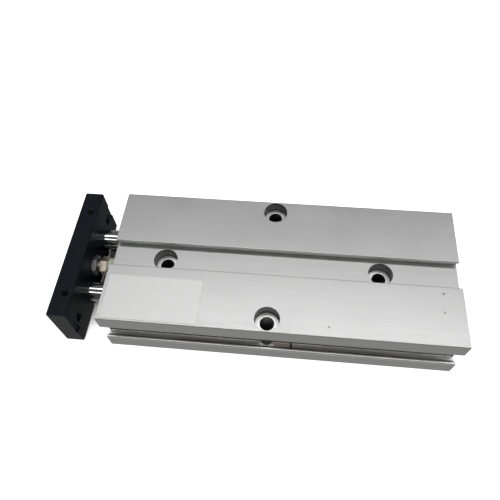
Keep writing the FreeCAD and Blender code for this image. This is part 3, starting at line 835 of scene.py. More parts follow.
@dataclass(frozen=True)
class LabelFilm(Finish):
    """Blank matte label on metallised film: fine tooth, soft waves, handling marks and dirty edges."""

    dirt_colour: Colour
    low_mm: Pair
    high_mm: Pair
    metallised: float = 0.55
    rim_mm: float = 0.5
    rim_fade_mm: float = 0.45

    def dress(self, graph: Graph) -> dict[str, Feed]:
        """Add the finish's nodes.

        Args:
            graph: Where the nodes go.

        Returns:
            What feeds each socket of the shader, by the socket's name.
        """
        tooth = graph.even_noise(0.13, 3.0)
        fibres = graph.noise((0.8, 4.5, 1.0), 3.0, 0.6)
        waves = graph.even_noise(7.0, 2.0)
        smears = graph.noise((0.12, 0.3, 1.0), 4.0, 0.65).rises(0.55, 0.75)
        clean: Number = 1.0
        for place, low, high in zip(graph.along, self.low_mm, self.high_mm):
            clean = place.inside(low + self.rim_mm, high - self.rim_mm, self.rim_fade_mm) * clean
        grime = (1.0 - clean) * graph.even_noise(1.2, 3.0).rises(0.3, 0.62)

        paper = fibres.swing(0.8) + waves.swing(0.6) + 0.5
        colour = graph.blend(paper, self.shaded(0.95), self.shaded(1.04))
        colour = graph.blend(smears * 0.1 + grime * 0.3, colour, self.dirt_colour)
        return {
            "Base Color": colour,
            "Metallic": self.metallised,
            "Specular IOR Level": 0.3,
            "Roughness": tooth.swing(0.1) - smears * 0.08 + self.roughness,
            "Normal": graph.bump(tooth.swing(0.005) + fibres.swing(0.003) + waves.swing(0.05)),
        }


@dataclass(frozen=True)
class StudioPaper(Finish):
    """Seamless paper or card, whose glow, if it has any, fades to a painted shadow where the part covers it
    closely.
    """

    glow: float
    reach: float = 0.045

    def dress(self, graph: Graph) -> dict[str, Feed]:
        """Add the finish's nodes.

        Args:
            graph: Where the nodes go.

        Returns:
            What feeds each socket of the shader, by the socket's name.
        """
        tooth = graph.even_noise(1.6, 3.0)
        settings = {"samples": SKY_SAMPLES}
        open_sky = graph.number("ShaderNodeAmbientOcclusion", settings, {"Distance": self.reach}, 1)
        return {
            "Base Color": graph.blend(tooth * 0.5, self.colour, self.shaded(0.985)),
            "Metallic": 0.0,
            "Specular IOR Level": 0.1,
            "Roughness": self.roughness,
            # painted shadow: the glow fades to dark where the part closes off the paper's view of the sky
            "Emission Color": graph.blend(open_sky.rises(0.08, 0.34), self.shaded(0.02), self.colour),
            "Emission Strength": self.glow,
        }


class Workpiece:
    """One new piece: a primitive along the local Z axis, shaped in edit mode and then set in its place."""

    def __init__(
        self, name: str, sides: int, radius: float, low: float, high: float, turn: float = 0.0
    ) -> None:
        """Start from a cylinder or prism.

        Args:
            name: The piece's name.
            sides: Number of side faces.
            radius: Radius of the corners.
            low: Height of the lower end.
            high: Height of the upper end.
            turn: Turn about the axis, in radians.
        """
        bpy.ops.object.select_all(action="DESELECT")
        middle = (0.0, 0.0, (low + high) / 2.0)
        bpy.ops.mesh.primitive_cylinder_add(
            vertices=sides, radius=radius, depth=high - low, location=middle, rotation=(0.0, 0.0, turn)
        )
        self._adopt(name)
        self.radius = radius
        self.height = high

    def _adopt(self, name: str) -> None:
        """Take over the active object and put its place into its mesh.

        Args:
            name: The name that it gets.
        """
        self.object = bpy.context.active_object
        self.object.name = name
        self.object.data.name = name
        bpy.ops.object.transform_apply(location=True, rotation=True, scale=True)

    @classmethod
    def ridge(
        cls, name: str, radius: float, depth: float, pitch: float, turns: int, low: float, outward: bool
    ) -> "Workpiece":
        """Make a thread's helical ridge about the local Z axis.

        Args:
            name: The piece's name.
            radius: Radius that the ridge stands on.
            depth: How far the ridge's crest stands off that radius.
            pitch: Rise in one turn.
            turns: Number of turns.
            low: Height at which the ridge starts.
            outward: True for a screw's thread, False for a hole's.

        Returns:
            The ridge, closed at both ends.
        """
        piece = cls.__new__(cls)
        sign = 1.0 if outward else -1.0
        foot = pitch * THREAD_FOOT
        size = depth / TRIANGLE_HEIGHT
        place = (radius + sign * (depth - size), 0.0, low + foot / 2.0)
        bpy.ops.object.select_all(action="DESELECT")
        bpy.ops.mesh.primitive_circle_add(
            vertices=3, radius=size, fill_type="NOTHING", location=place,
            rotation=(math.pi / 2.0, sign * math.pi / 2.0, 0.0),
        )
        bpy.context.active_object.scale = (foot / (size * math.sqrt(3.0)), 1.0, 1.0)
        piece._adopt(name)
        piece.radius = radius
        piece.height = low
        wind = piece.object.modifiers.new("wind", "SCREW")
        wind.axis = "Z"
        wind.angle = math.tau
        wind.screw_offset = pitch
        wind.iterations = turns
        wind.steps = THREAD_STEPS
        wind.render_steps = THREAD_STEPS
        wind.use_merge_vertices = True
        wind.merge_threshold = 1e-7
        piece._apply(wind)
        bpy.ops.object.mode_set(mode="EDIT")
        bpy.ops.mesh.select_all(action="SELECT")
        bpy.ops.mesh.fill_holes(sides=3)
        bpy.ops.object.mode_set(mode="OBJECT")
        return piece

    def _alone(self) -> None:
        """Make this piece the only selected one, and the active one."""
        bpy.ops.object.select_all(action="DESELECT")
        self.object.select_set(True)
        bpy.context.view_layer.objects.active = self.object

    def _apply(self, modifier: bpy.types.Modifier) -> None:
        """Apply one modifier to this piece."""
        self._alone()
        bpy.ops.object.modifier_apply(modifier=modifier.name)

    def pick(self, element: Element, chosen: Callable[[Vector, Vector], bool]) -> None:
        """Select, in edit mode, what a test of place and normal accepts.

        Args:
            element: Whether vertices or faces are tested.
            chosen: The test; it gets the element's centre and normal.
        """
        bpy.context.tool_settings.mesh_select_mode = element.value
        bpy.ops.mesh.select_all(action="DESELECT")
        mesh = bmesh.from_edit_mesh(self.object.data)
        mesh.normal_update()
        if element is Element.VERTEX:
            found = [vertex for vertex in mesh.verts if chosen(vertex.co, vertex.normal)]
        else:
            found = [face for face in mesh.faces if chosen(face.calc_center_median(), face.normal)]
        for each in found:
            each.select_set(True)
        mesh.select_flush_mode()
        bmesh.update_edit_mesh(self.object.data)

    def grow(self, stations: Sequence[Station]) -> None:
        """Extrude the upper end face through heights and radii, as on a lathe.

        Args:
            stations: Height and radius of each step, in order; a step may go inwards or down again.
        """
        self._alone()
        bpy.ops.object.mode_set(mode="EDIT")
        top = self.height
        self.pick(Element.FACE, lambda centre, normal: normal.z > 0.9 and abs(centre.z - top) < TOUCH)
        for height, radius in stations:
            rise = (0.0, 0.0, height - self.height)
            bpy.ops.mesh.extrude_region_move(TRANSFORM_OT_translate={"value": rise})
            factor = radius / self.radius
            bpy.ops.transform.resize(value=(factor, factor, 1.0), center_override=(0.0, 0.0, height))
            self.radius = radius
            self.height = height
        bpy.ops.object.mode_set(mode="OBJECT")

    def flute(self, every: int, sides: int, factor: float) -> None:
        """Draw in every few corners, which leaves grooves along the side.

        Args:
            every: Spacing of the drawn-in corners.
            sides: Number of corners round the piece.
            factor: New radius as a share of the old one.
        """
        self._alone()
        bpy.ops.object.mode_set(mode="EDIT")
        rim = self.radius

        def is_groove(centre: Vector, normal: Vector) -> bool:
            """Accept every few corners of the rim.

            Args:
                centre: The corner's place.
                normal: The corner's normal, which doesn't matter here.

            Returns:
                True for a corner that is drawn in.
            """
            if math.hypot(centre.x, centre.y) < rim * 0.9:
                return False
            return round(math.atan2(centre.y, centre.x) * sides / math.tau) % every == 0

        self.pick(Element.VERTEX, is_groove)
        bpy.ops.transform.resize(value=(factor, factor, 1.0), center_override=(0.0, 0.0, 0.0))
        bpy.ops.object.mode_set(mode="OBJECT")

    def combine(self, other: "Workpiece", joining: Joining) -> None:
        """Cut another solid out of this one, or keep what the two have in common.

        Args:
            other: The other solid, which is used up.
            joining: How the two are combined.
        """
        shape = self.object.modifiers.new("shape", "BOOLEAN")
        shape.operation = joining.value
        shape.solver = "EXACT"
        shape.object = other.object
        self._apply(shape)
        bpy.data.objects.remove(other.object)

    def add(self, other: "Workpiece") -> None:
        """Join another piece to this one as a further shell.

        Args:
            other: The other piece, which is used up.
        """
        self._alone()
        other.object.select_set(True)
        bpy.ops.object.join()

    def soften(self, width: float, angle: float, segments: int = 2) -> None:
        """Bevel all edges that are sharper than an angle.

        Args:
            width: Width of the bevel.
            angle: Angle in degrees from which an edge counts as sharp.
            segments: Faces across it.
        """
        bevel = self.object.modifiers.new("soften", "BEVEL")
        bevel.width = width
        bevel.segments = segments
        bevel.limit_method = "ANGLE"
        bevel.angle_limit = math.radians(angle)
        self._apply(bevel)

    def settle(self, at: Vector, along: Vector, smooth_angle: float = 32.0) -> bpy.types.Object:
        """Turn the local Z axis to its direction, move the piece to its place and finish its mesh.

        Args:
            at: Where the local origin comes to lie.
            along: Direction of the local Z axis.
            smooth_angle: Angle in degrees up to which faces are shaded as one.

        Returns:
            The finished object, at the origin, with its place in its mesh.
        """
        self._alone()
        bpy.ops.object.mode_set(mode="EDIT")
        bpy.ops.mesh.select_all(action="SELECT")
        bpy.ops.mesh.normals_make_consistent(inside=False)
        bpy.ops.object.mode_set(mode="OBJECT")
        turn = Z_AXIS.rotation_difference(along)
        self.object.matrix_world = Matrix.Translation(at) @ turn.to_matrix().to_4x4()
        bpy.ops.object.transform_apply(location=True, rotation=True, scale=True)
        bpy.ops.object.shade_smooth_by_angle(angle=math.radians(smooth_angle))
        return self.object


class Workshop:
    """Holds the finished materials, and hands pieces over to their bodies."""

    def __init__(self, finishes: Sequence[Finish]) -> None:
        """Make the material of each finish once.

        Args:
            finishes: One finish for each material slot of the record.
        """
        self.materials = {finish.slot: finish.make() for finish in finishes}
        self.slots = {row["node"]: row["material_slot"] for row in frame["record"]["subparts"]}

    def lay_on(self, target: bpy.types.Object, slot: str) -> None:
        """Give an object one finish all over.

        Args:
            target: The object.
            slot: The material slot that the finish belongs to.
        """
        material = self.materials[slot]
        if not target.material_slots:
            target.data.materials.append(material)
        for each in target.material_slots:
            each.material = material

    def dress_nodes(self, names: Sequence[str]) -> None:
        """Lay each CAD node's own finish on it.

        Args:
            names: The nodes that stay visible.
        """
        for name in names:
            self.lay_on(frame["nodes"][name], self.slots[name])
            LOG.info("dressed %s with %s", name, self.slots[name])

    def present(
        self, piece: bpy.types.Object, body: CadBody, slot: str, stands_for: Sequence[str] = ()
    ) -> None:
        """Finish a new piece and let it ride on its body.

        Args:
            piece: The new piece.
            body: The body that it moves with.
            slot: The material slot that it takes its finish from.
            stands_for: CAD nodes that it is shown instead of.
        """
        self.lay_on(piece, slot)
        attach(piece, body.value)
        if stands_for:
            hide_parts(*stands_for)
        LOG.info("made %s, %d faces, on %s", piece.name, len(piece.data.polygons), body.value)


def mount(name: str) -> dict[str, Any]:
    """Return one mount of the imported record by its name."""
    return next(each for each in frame["record"]["mounts"] if each["name"] == name)


def middle_of(node: str) -> Vector:
    """Return the centre of a CAD node's box."""
    low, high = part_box(node)
    return (low + high) / 2.0


def on_axis(node: str, x: float) -> Vector:
    """Return the point at x on the line along X through the middle of a CAD node."""
    centre = middle_of(node)
    return Vector((x, centre.y, centre.z))


def both(stem: str) -> list[str]:
    """Return the names of a pair of nodes, one on each side."""
    return ["%s_%s" % (stem, side.value) for side in Side]


@dataclass
class HoleThread:
    """The thread in a tapped hole: how far its crests stand in, its pitch, and the plain ends it leaves."""

    crest_depth: float
    pitch: float
    run_out: float = 0.35 * MM
    sunk_share: float = 0.2

    def cut(
        self, name: str, mouth: Vector, outward: Vector, wall_radius: float, length: float
    ) -> bpy.types.Object:
        """Make the ridge that winds down a hole, its foot sunk a little into the wall.

        Args:
            name: The piece's name.
            mouth: Centre of the hole's mouth.
            outward: Direction out of the hole.
            wall_radius: Radius of the hole's wall.
            length: Depth of the hole.

        Returns:
            The ridge in its place.
        """
        turns = int((length - 2.0 * self.run_out) / self.pitch) - 1
        foot_radius = wall_radius + self.sunk_share * self.crest_depth
        depth = (1.0 + self.sunk_share) * self.crest_depth
        ridge = Workpiece.ridge(name, foot_radius, depth, self.pitch, turns, self.run_out, outward=False)
        return ridge.settle(mouth, -outward)


@dataclass
class Barrel:
    """The extruded body with its blank label and its two tapped air ports."""

    port_thread: HoleThread = field(default_factory=lambda: HoleThread(0.26 * MM, 0.8 * MM))
    label_cells: tuple[int, int] = (40, 20)
    label_corner: float = 0.8 * MM
    label_corner_steps: int = 5
    label_film: float = 0.09 * MM
    label_waves: float = 0.045 * MM
    label_wave_length: float = 9.0 * MM
    label_smooth_angle: float = 40.0

    def build(self, shop: Workshop) -> None:
        """Make and dress the body's own pieces.

        Args:
            shop: The workshop that takes the pieces.
        """
        shop.dress_nodes(["barrel_body"])
        for name in ("port_front", "port_rear"):
            port = mount(name)
            outward = Vector(port["axis"])
            length = port["dims"]["length_mm"] * MM
            mouth = Vector(port["pos_m"]) + outward * (length / 2.0)
            radius = port["dims"]["r_mm"] * MM
            thread = self.port_thread.cut("thread_" + name, mouth, outward, radius, length)
            shop.present(thread, CadBody.BARREL, "body_anodised")
        shop.present(self._label(), CadBody.BARREL, "label_film", ["label"])

    def _label(self) -> bpy.types.Object:
        """Make the label: a thin film with rounded corners that lies in very slight waves.

        Returns:
            The label in its place.
        """
        low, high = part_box("label")
        size = high - low
        bpy.ops.object.select_all(action="DESELECT")
        bpy.ops.mesh.primitive_grid_add(
            x_subdivisions=self.label_cells[0], y_subdivisions=self.label_cells[1], size=1.0,
            location=((low.x + high.x) / 2.0, (low.y + high.y) / 2.0, low.z),
        )
        film = bpy.context.active_object
        film.name = "label_sheet"
        film.data.name = film.name
        film.scale = (size.x, size.y, 1.0)
        bpy.ops.object.transform_apply(location=True, rotation=True, scale=True)
        self._round_corners(film)
        clouds = bpy.data.textures.new("label_waves", "CLOUDS")
        clouds.noise_scale = self.label_wave_length
        waves = film.modifiers.new("waves", "DISPLACE")
        waves.texture = clouds
        waves.texture_coords = "GLOBAL"
        waves.direction = "Z"
        waves.mid_level = 0.0
        waves.strength = self.label_waves
        wall = film.modifiers.new("film", "SOLIDIFY")
        wall.thickness = self.label_film
        wall.offset = 1.0
        for modifier in (waves, wall):
            bpy.ops.object.modifier_apply(modifier=modifier.name)
        bpy.ops.object.shade_smooth_by_angle(angle=math.radians(self.label_smooth_angle))
        return film

    def _round_corners(self, film: bpy.types.Object) -> None:
        """Round the four corners of the label's grid, where only two edges meet.

        Args:
            film: The grid, which is the active object.
        """
        bpy.ops.object.mode_set(mode="EDIT")
        bpy.context.tool_settings.mesh_select_mode = Element.VERTEX.value
        bpy.ops.mesh.select_all(action="DESELECT")
        mesh = bmesh.from_edit_mesh(film.data)
        for vertex in mesh.verts:
            if len(vertex.link_edges) == 2:
                vertex.select_set(True)
        bmesh.update_edit_mesh(film.data)
        bpy.ops.mesh.bevel(offset=self.label_corner, segments=self.label_corner_steps, affect="VERTICES")
        bpy.ops.object.mode_set(mode="OBJECT")


@dataclass
class BoreEnds:
    """What closes and guides each bore: covers, caps, bushes, seals, snap rings and resilient washers."""

    stems: tuple[str, ...] = (
        "rod_cover", "rod_bush", "rod_seal", "cover_oring", "front_ring", "front_cushion",
        "rear_cushion", "rear_cap", "cap_oring", "rear_ring",
    )

    def build(self, shop: Workshop) -> None:
        """Dress every piece of both bores."""
        for stem in self.stems:
            shop.dress_nodes(both(stem))


@dataclass
class Pistons:
    """The chromed rods, with the pistons that the air pushes."""

    stems: tuple[str, ...] = (
        "piston_rod", "piston_front", "piston_rear", "piston_magnet", "piston_seal",
        "wear_ring", "piston_nut",
    )

    def build(self, shop: Workshop) -> None:
        """Dress every piece of both pistons."""
        for stem in self.stems:
            shop.dress_nodes(both(stem))


@dataclass
class EndPlate:
    """The tooling plate: its tapped holes' threads and the two socket screws that hold the rods."""

    face_thread: HoleThread = field(default_factory=lambda: HoleThread(0.26 * MM, 0.8 * MM))
    top_thread: HoleThread = field(default_factory=lambda: HoleThread(0.22 * MM, 0.7 * MM))
    top_hole_depth: float = 8.0 * MM
    head_radius: float = 4.25 * MM
    head_height: float = 5.0 * MM
    head_bevel: float = 0.45 * MM
    edge_round: float = 0.07 * MM
    shank_radius: float = 2.5 * MM
    shank_overlap: float = 0.2 * MM
    socket_radius: float = 2.31 * MM
    socket_depth: float = 2.5 * MM
    dish_depth: float = 0.22 * MM
    dish_mouth_share: float = 1.14
    dish_foot_share: float = 0.98
    knurl_sides: int = 108
    knurl_every: int = 3
    knurl_depth: float = 0.955

    def build(self, shop: Workshop) -> None:
        """Make and dress the plate's own pieces.

        Args:
            shop: The workshop that takes the pieces.
        """
        shop.dress_nodes(["end_plate"])
        low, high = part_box("end_plate")
        self._thread_row(shop, "plate_face_holes", "spacing_x_mm", self.face_thread, high.x - low.x)
        self._thread_row(shop, "plate_top_holes", "spacing_y_mm", self.top_thread, self.top_hole_depth)
        for side in Side:
            node = "plate_screw_" + side.value
            screw = self._screw("socket_screw_" + side.value, node)
            shop.present(screw, CadBody.SLIDE, "screw_steel", [node])

    @staticmethod
    def _thread_row(shop: Workshop, name: str, spacing: str, thread: HoleThread, length: float) -> None:
        """Thread both holes of a mount.

        Args:
            shop: The workshop that takes the pieces.
            name: The mount's name.
            spacing: The name of the mount's dimension that spaces its two holes.
            thread: The thread's sizes.
            length: Depth of the holes.
        """
        holes = mount(name)
        offset = holes["dims"][spacing] * MM / 2.0
        radius = holes["dims"]["hole_r_mm"] * MM
        outward = Vector(holes["axis"])
        stem = "thread_" + name.removesuffix("_holes")
        for side, sign in ((Side.PORT, 1.0), (Side.SLOT, -1.0)):
            mouth = Vector(holes["pos_m"]) + Vector((0.0, sign * offset, 0.0))
            piece = thread.cut("%s_%s" % (stem, side.value), mouth, outward, radius, length)
            shop.present(piece, CadBody.SLIDE, "plate_anodised")

    def _screw(self, name: str, node: str) -> bpy.types.Object:
        """Make a socket head screw with a knurled head, its head at the local top.

        Args:
            name: The piece's name.
            node: The CAD node that gives its place and length.

        Returns:
            The screw in its place.
        """
        low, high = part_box(node)
        length = high.x - low.x
        shank = length - self.head_height
        head = Workpiece(name, self.knurl_sides, self.head_radius, shank, length - self.head_bevel)
        head.flute(self.knurl_every, self.knurl_sides, self.knurl_depth)
        head.grow([
            (length, self.head_radius - self.head_bevel),
            (length, self.socket_radius * self.dish_mouth_share),
            (length - self.dish_depth, self.socket_radius * self.dish_foot_share),
        ])
        socket_floor = length - self.socket_depth
        head.combine(
            Workpiece("socket", 6, self.socket_radius, socket_floor, length + self.head_bevel), Joining.CUT
        )
        head.soften(self.edge_round, 50.0)
        head.add(Workpiece("shank", 32, self.shank_radius, 0.0, shank + self.shank_overlap))
        return head.settle(on_axis(node, high.x), -X_AXIS, 26.0)


@dataclass
class StrokeStop:
    """The adjusting bolt with its jam nut and its resilient bumper, in the middle of the plate."""

    thread_radius: float = 2.5 * MM
    core_radius: float = 2.08 * MM
    pitch: float = 0.8 * MM
    thread_start: float = 0.45 * MM
    thread_sunk: float = 0.05 * MM
    tip_share: float = 0.86
    tip_flat: float = 0.3 * MM
    tip_slope: float = 0.25 * MM
    head_height: float = 3.5 * MM
    head_overlap: float = 0.2 * MM
    hexagon_flats: float = 8.0 * MM
    chamfer_share: float = 0.955
    chamfer_angle: float = 30.0
    blank_share: float = 1.08
    washer_share: float = 0.95
    collar: float = 0.25 * MM
    countersink: float = 0.3 * MM
    overshoot: float = 0.1 * MM
    bolt_edge_round: float = 0.09 * MM
    nut_edge_round: float = 0.08 * MM
    bumper_edge_round: float = 0.12 * MM
    bumper_foot: Station = (0.14, 0.95)
    bumper_outline: tuple[Station, ...] = (
        (0.4, 1.0), (0.62, 1.0), (0.82, 0.965), (0.93, 0.9), (0.985, 0.78), (1.0, 0.55),
    )

    def build(self, shop: Workshop) -> None:
        """Make and dress the bolt, nut and bumper.

        Args:
            shop: The workshop that takes the pieces.
        """
        shop.present(self._bolt(), CadBody.SLIDE, "bolt_steel", ["adjusting_bolt"])
        shop.present(self._nut(), CadBody.SLIDE, "nut_steel", ["jam_nut"])
        shop.present(self._bumper(), CadBody.SLIDE, "bumper_urethane", ["stop_bumper"])

    def _hexagon(self, name: str, low: float, high: float, both_ends: bool) -> Workpiece:
        """Make a hexagon with turned chamfers.

        Args:
            name: The piece's name.
            low: Height of the lower end.
            high: Height of the upper end.
            both_ends: True to chamfer the lower end as well as the upper one.

        Returns:
            The hexagon, turned a twelfth of a turn about its axis.
        """
        corner = self.hexagon_flats / math.sqrt(3.0)
        face = self.hexagon_flats / 2.0 * self.chamfer_share
        wide = corner * self.blank_share
        slope = (wide - face) * math.tan(math.radians(self.chamfer_angle))
        piece = Workpiece(name, 6, corner, low, high, math.pi / 6.0)
        turned = Workpiece("turned", 72, face if both_ends else wide, low - self.collar, low)
        turned.grow([(low + slope, wide), (high - slope, wide), (high, face), (high + self.collar, face)])
        piece.combine(turned, Joining.KEEP_COMMON)
        return piece

    def _bolt(self) -> bpy.types.Object:
        """Make the bolt: threaded shank, washer face and chamfered hexagon head.

        Returns:
            The bolt in its place.
        """
        low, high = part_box("adjusting_bolt")
        length = high.x - low.x
        head_start = length - self.head_height
        bolt = self._hexagon("stop_bolt", head_start + self.collar, length, False)
        bolt.soften(self.bolt_edge_round, 20.0)
        washer_radius = self.hexagon_flats / 2.0 * self.washer_share
        bolt.add(Workpiece("washer_face", 64, washer_radius, head_start, head_start + self.collar * 1.5))
        core = Workpiece("core", 48, self.core_radius * self.tip_share, 0.0, self.tip_flat)
        core.grow([
            (self.tip_flat + self.tip_slope, self.core_radius),
            (head_start + self.head_overlap, self.core_radius),
        ])
        bolt.add(core)
        turns = int((head_start - 0.5 * MM) / self.pitch) - 1
        foot_radius = self.core_radius - self.thread_sunk
        depth = self.thread_radius - foot_radius
        bolt.add(Workpiece.ridge(
            "ridge", foot_radius, depth, self.pitch, turns, self.thread_start, outward=True
        ))
        return bolt.settle(on_axis("adjusting_bolt", low.x), X_AXIS, 28.0)

    def _nut(self) -> bpy.types.Object:
        """Make the jam nut: a hexagon chamfered at both ends, with a countersunk bore.

        Returns:
            The nut in its place.
        """
        low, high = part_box("jam_nut")
        length = high.x - low.x
        nut = self._hexagon("locking_nut", 0.0, length, True)
        sunk_radius = self.thread_radius + self.countersink
        bore = Workpiece("bore", 48, sunk_radius, -self.overshoot, 0.0)
        bore.grow([
            (self.countersink, self.thread_radius),
            (length - self.countersink, self.thread_radius),
            (length, sunk_radius),
            (length + self.overshoot, sunk_radius + self.overshoot),
        ])
        nut.combine(bore, Joining.CUT)
        nut.soften(self.nut_edge_round, 20.0)
        return nut.settle(on_axis("jam_nut", low.x), X_AXIS, 28.0)

    def _bumper(self) -> bpy.types.Object:
        """Make the bumper: a short barrel with a rounded rim and a slightly crowned face.

        Returns:
            The bumper in its place.
        """
        low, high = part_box("stop_bumper")
        face_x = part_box("adjusting_bolt")[1].x
        radius = (high.y - low.y) / 2.0
        length = high.x - face_x
        foot_height, foot_share = self.bumper_foot
        bumper = Workpiece("bumper_pad", 64, radius * foot_share, 0.0, length * foot_height)
        bumper.grow([(length * height, radius * share) for height, share in self.bumper_outline])
        bumper.soften(self.bumper_edge_round, 30.0)
        return bumper.settle(on_axis("stop_bumper", face_x), X_AXIS, 50.0)


@dataclass(frozen=True)
class Softbox:
    """A rectangular diffused light: where it hangs, seen from the part, its size, glow and sideways shift."""

    name: str
    azimuth: float
    elevation: float
    distance: float
    width: float
    height: float
    radiance: float
    shift: float = 0.0

    def hang(self, aim: Vector) -> None:
        """Hang the light and point it.

        Args:
            aim: The point that it faces, unless it is shifted.
        """
        turn, lift = math.radians(self.azimuth), math.radians(self.elevation)
        back = Vector((math.sin(turn) * math.cos(lift), -math.cos(turn) * math.cos(lift), math.sin(lift)))
        right = (X_AXIS - back * back.x).normalized()
        up = back.cross(right)
        lamp = bpy.data.lights.new(self.name, "AREA")
        lamp.shape = "RECTANGLE"
        lamp.size = self.width
        lamp.size_y = self.height
        lamp.energy = self.radiance * math.pi * self.width * self.height
        holder = bpy.data.objects.new(self.name, lamp)
        axes = Matrix((right, up, back)).transposed().to_4x4()
        holder.matrix_world = Matrix.Translation(aim + back * self.distance + right * self.shift) @ axes
        bpy.context.scene.collection.objects.link(holder)


@dataclass
class Studio:
    """The pale floor, dark cards under the part that paint the shade beneath it, the soft light and the
    camera of the photograph.
    """

    camera_place: Triple = (0.0058375, -0.1071473, 0.2106428)
    camera_turn_degrees: Triple = (31.789, 1.536, 5.415)
    lens_mm: float = 35.82
    sensor_mm: float = 36.0
    near_clip: float = 0.01
    floor_size: float = 4.0
    floor_gap: float = 0.03 * MM
    card_inset: float = 0.6 * MM
    rod_shade_card_inset: float = 3.0 * MM
    sky_behind: Colour = (0.18, 0.18, 0.185)
    sky_in_front: Colour = (0.1, 0.1, 0.1)
    ground: Colour = (0.34, 0.34, 0.335)
    sky_change: Pair = (-0.6, 0.6)
    horizon: Pair = (-0.12, 0.06)
    aim: Triple = (0.0, 0.0, 0.02)
    softboxes: tuple[Softbox, ...] = (
        Softbox("strip_behind", 180.0, 74.0, 1.2, 1.4, 0.17, 5.3, 0.08),
        Softbox("strip_in_front", 0.0, 70.0, 1.2, 1.4, 0.15, 4.9, 0.08),
        Softbox("fill_rear", 90.0, 40.0, 1.3, 0.8, 0.8, 0.8),
    )
    floor_finish: StudioPaper = StudioPaper("studio_paper", (0.95, 0.95, 0.95), 0.8, 1.0)
    # painted shade: the dark sheet that stands in for the shaded floor under the part
    shade_card_finish: StudioPaper = StudioPaper("dark_card", (0.02, 0.02, 0.02), 0.9, 0.0)

    def build(self) -> None:
        """Set the floor, the dark cards of painted shade, the lights, the sky and the camera."""
        span = Vector((self.floor_size, self.floor_size, 0.0))
        floor = self._sheet("floor", -span / 2.0, span / 2.0, 2.0 * self.floor_gap, self.floor_finish)
        floor.visible_glossy = False
        floor.visible_diffuse = False
        self._shade_cards()
        self._sky()
        for softbox in self.softboxes:
            softbox.hang(Vector(self.aim))
        self._camera()
        bpy.context.scene.view_settings.view_transform = "Standard"

    def _shade_cards(self) -> None:
        """Lay dark cards of painted shade under the body and under the rods where they cross to the plate;
        the camera doesn't see them.
        """
        low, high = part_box("barrel_body")
        inset = Vector((self.card_inset, self.card_inset, 0.0))
        plate_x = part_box("end_plate")[1].x
        card_from = middle_of("piston_rod_slot_side").y + self.rod_shade_card_inset
        card_to = middle_of("piston_rod_port_side").y + self.rod_shade_card_inset
        areas = {
            "body_card": (low + inset, high - inset),
            "rod_card": (Vector((plate_x, card_from, 0.0)), Vector((low.x + self.card_inset, card_to, 0.0))),
        }
        for name, (corner, opposite) in areas.items():
            card = self._sheet(name, corner, opposite, self.floor_gap, self.shade_card_finish)
            card.visible_camera = False

    @staticmethod
    def _sheet(name: str, low: Vector, high: Vector, gap: float, finish: StudioPaper) -> bpy.types.Object:
        """Lay a flat sheet just under the part.

        Args:
            name: The sheet's name.
            low: One corner, seen from above.
            high: The opposite corner.
            gap: Distance under the part.
            finish: What the sheet is made of.

        Returns:
            The sheet, which belongs to the stage.
        """
        centre = (low + high) / 2.0
        bpy.ops.object.select_all(action="DESELECT")
        bpy.ops.mesh.primitive_plane_add(size=1.0, location=(centre.x, centre.y, -gap))
        sheet = bpy.context.active_object
        sheet.name = name
        sheet.scale = (high.x - low.x, high.y - low.y, 1.0)
        bpy.ops.object.transform_apply(location=True, rotation=True, scale=True)
        sheet.data.materials.append(finish.make())
        return sheet

    def _sky(self) -> None:
        """Fill the surroundings with soft light, brighter behind the part than in front of it."""
        world = bpy.data.worlds.new("studio")
        world.use_nodes = True
        bpy.context.scene.world = world
        graph = Graph(world.node_tree)
        background = world.node_tree.nodes["Background"]
        direction = graph.split(graph.node("ShaderNodeTexCoord").outputs["Generated"])
        behind = direction[1].rises(*self.sky_change)
        above = direction[2].rises(*self.horizon)
        sky = graph.blend(behind, self.sky_in_front, self.sky_behind)
        graph.feed(background.inputs["Color"], graph.blend(above, self.ground, sky))

    def _camera(self) -> None:
        """Set the camera where the photograph was taken."""
        lens = bpy.data.cameras.new("camera")
        lens.lens = self.lens_mm
        lens.sensor_width = self.sensor_mm
        lens.clip_start = self.near_clip
        camera = bpy.data.objects.new("camera", lens)
        camera.location = self.camera_place
        camera.rotation_euler = tuple(math.radians(angle) for angle in self.camera_turn_degrees)
        bpy.context.scene.collection.objects.link(camera)
        bpy.context.scene.camera = camera


COUNTERBORE_RADIUS_MM = 5.2
COUNTERBORE_DEPTH_MM = 5.0
CHANNEL_DEPTH_MM = 3.8
MILL_CENTRE = Axis(-70.0, 60.0)  # centre of the cutter's rings on the body's ends

NICKS = (
    Nick(-31.6, -18.6, 0.42),
    Nick(70.7, -9.4, 0.6),
    Nick(70.2, -17.7, 0.45),
    Nick(24.6, -27.7, 0.4),
)

# The slot runs from end to end, so a mark along all of it reaches past both ends of the body. In order:
# painted light on the inner edge of the slot's floor, a painted highlight along the rounded edge of the lower
# lip, patches of dried oil, a painted reflection made of a pale warm patch and a dark band at its end, and
# painted shade on the lower part of the slot's back wall.
SLOT_STAINS_AND_PAINTED_LIGHT = (
    # painted light: the inner edge of the slot's floor made lighter
    SlotStainAndPaintedLight((-80.0, -28.7, 6.3), (90.0, -27.6, 6.8), 1.0, (0.96, 0.96, 0.95), 0.8),
    # painted highlight along the lower lip's rounded edge
    SlotStainAndPaintedLight((-80.0, -32.1, 7.8), (90.0, -30.9, 8.75), 1.0, (0.97, 0.97, 0.96), 0.9),
    SlotStainAndPaintedLight((-34.0, -30.6, 6.3), (48.0, -28.6, 9.0), 12.0, (0.42, 0.3, 0.27), 0.5, patchy=True),
    # painted reflection: a pale warm patch, and a dark band at its end
    SlotStainAndPaintedLight((3.4, -28.9, 6.3), (10.0, -27.5, 7.1), 0.3, (0.98, 0.82, 0.7), 0.95),
    SlotStainAndPaintedLight((10.2, -30.6, 6.3), (10.9, -27.5, 9.0), 0.2, (0.06, 0.05, 0.045), 0.85),
    # painted shade on the lower part of the slot's back wall
    SlotStainAndPaintedLight((-80.0, -27.9, 7.1), (90.0, -27.5, 9.6), 1.0, (0.03, 0.028, 0.026), 0.95),
)


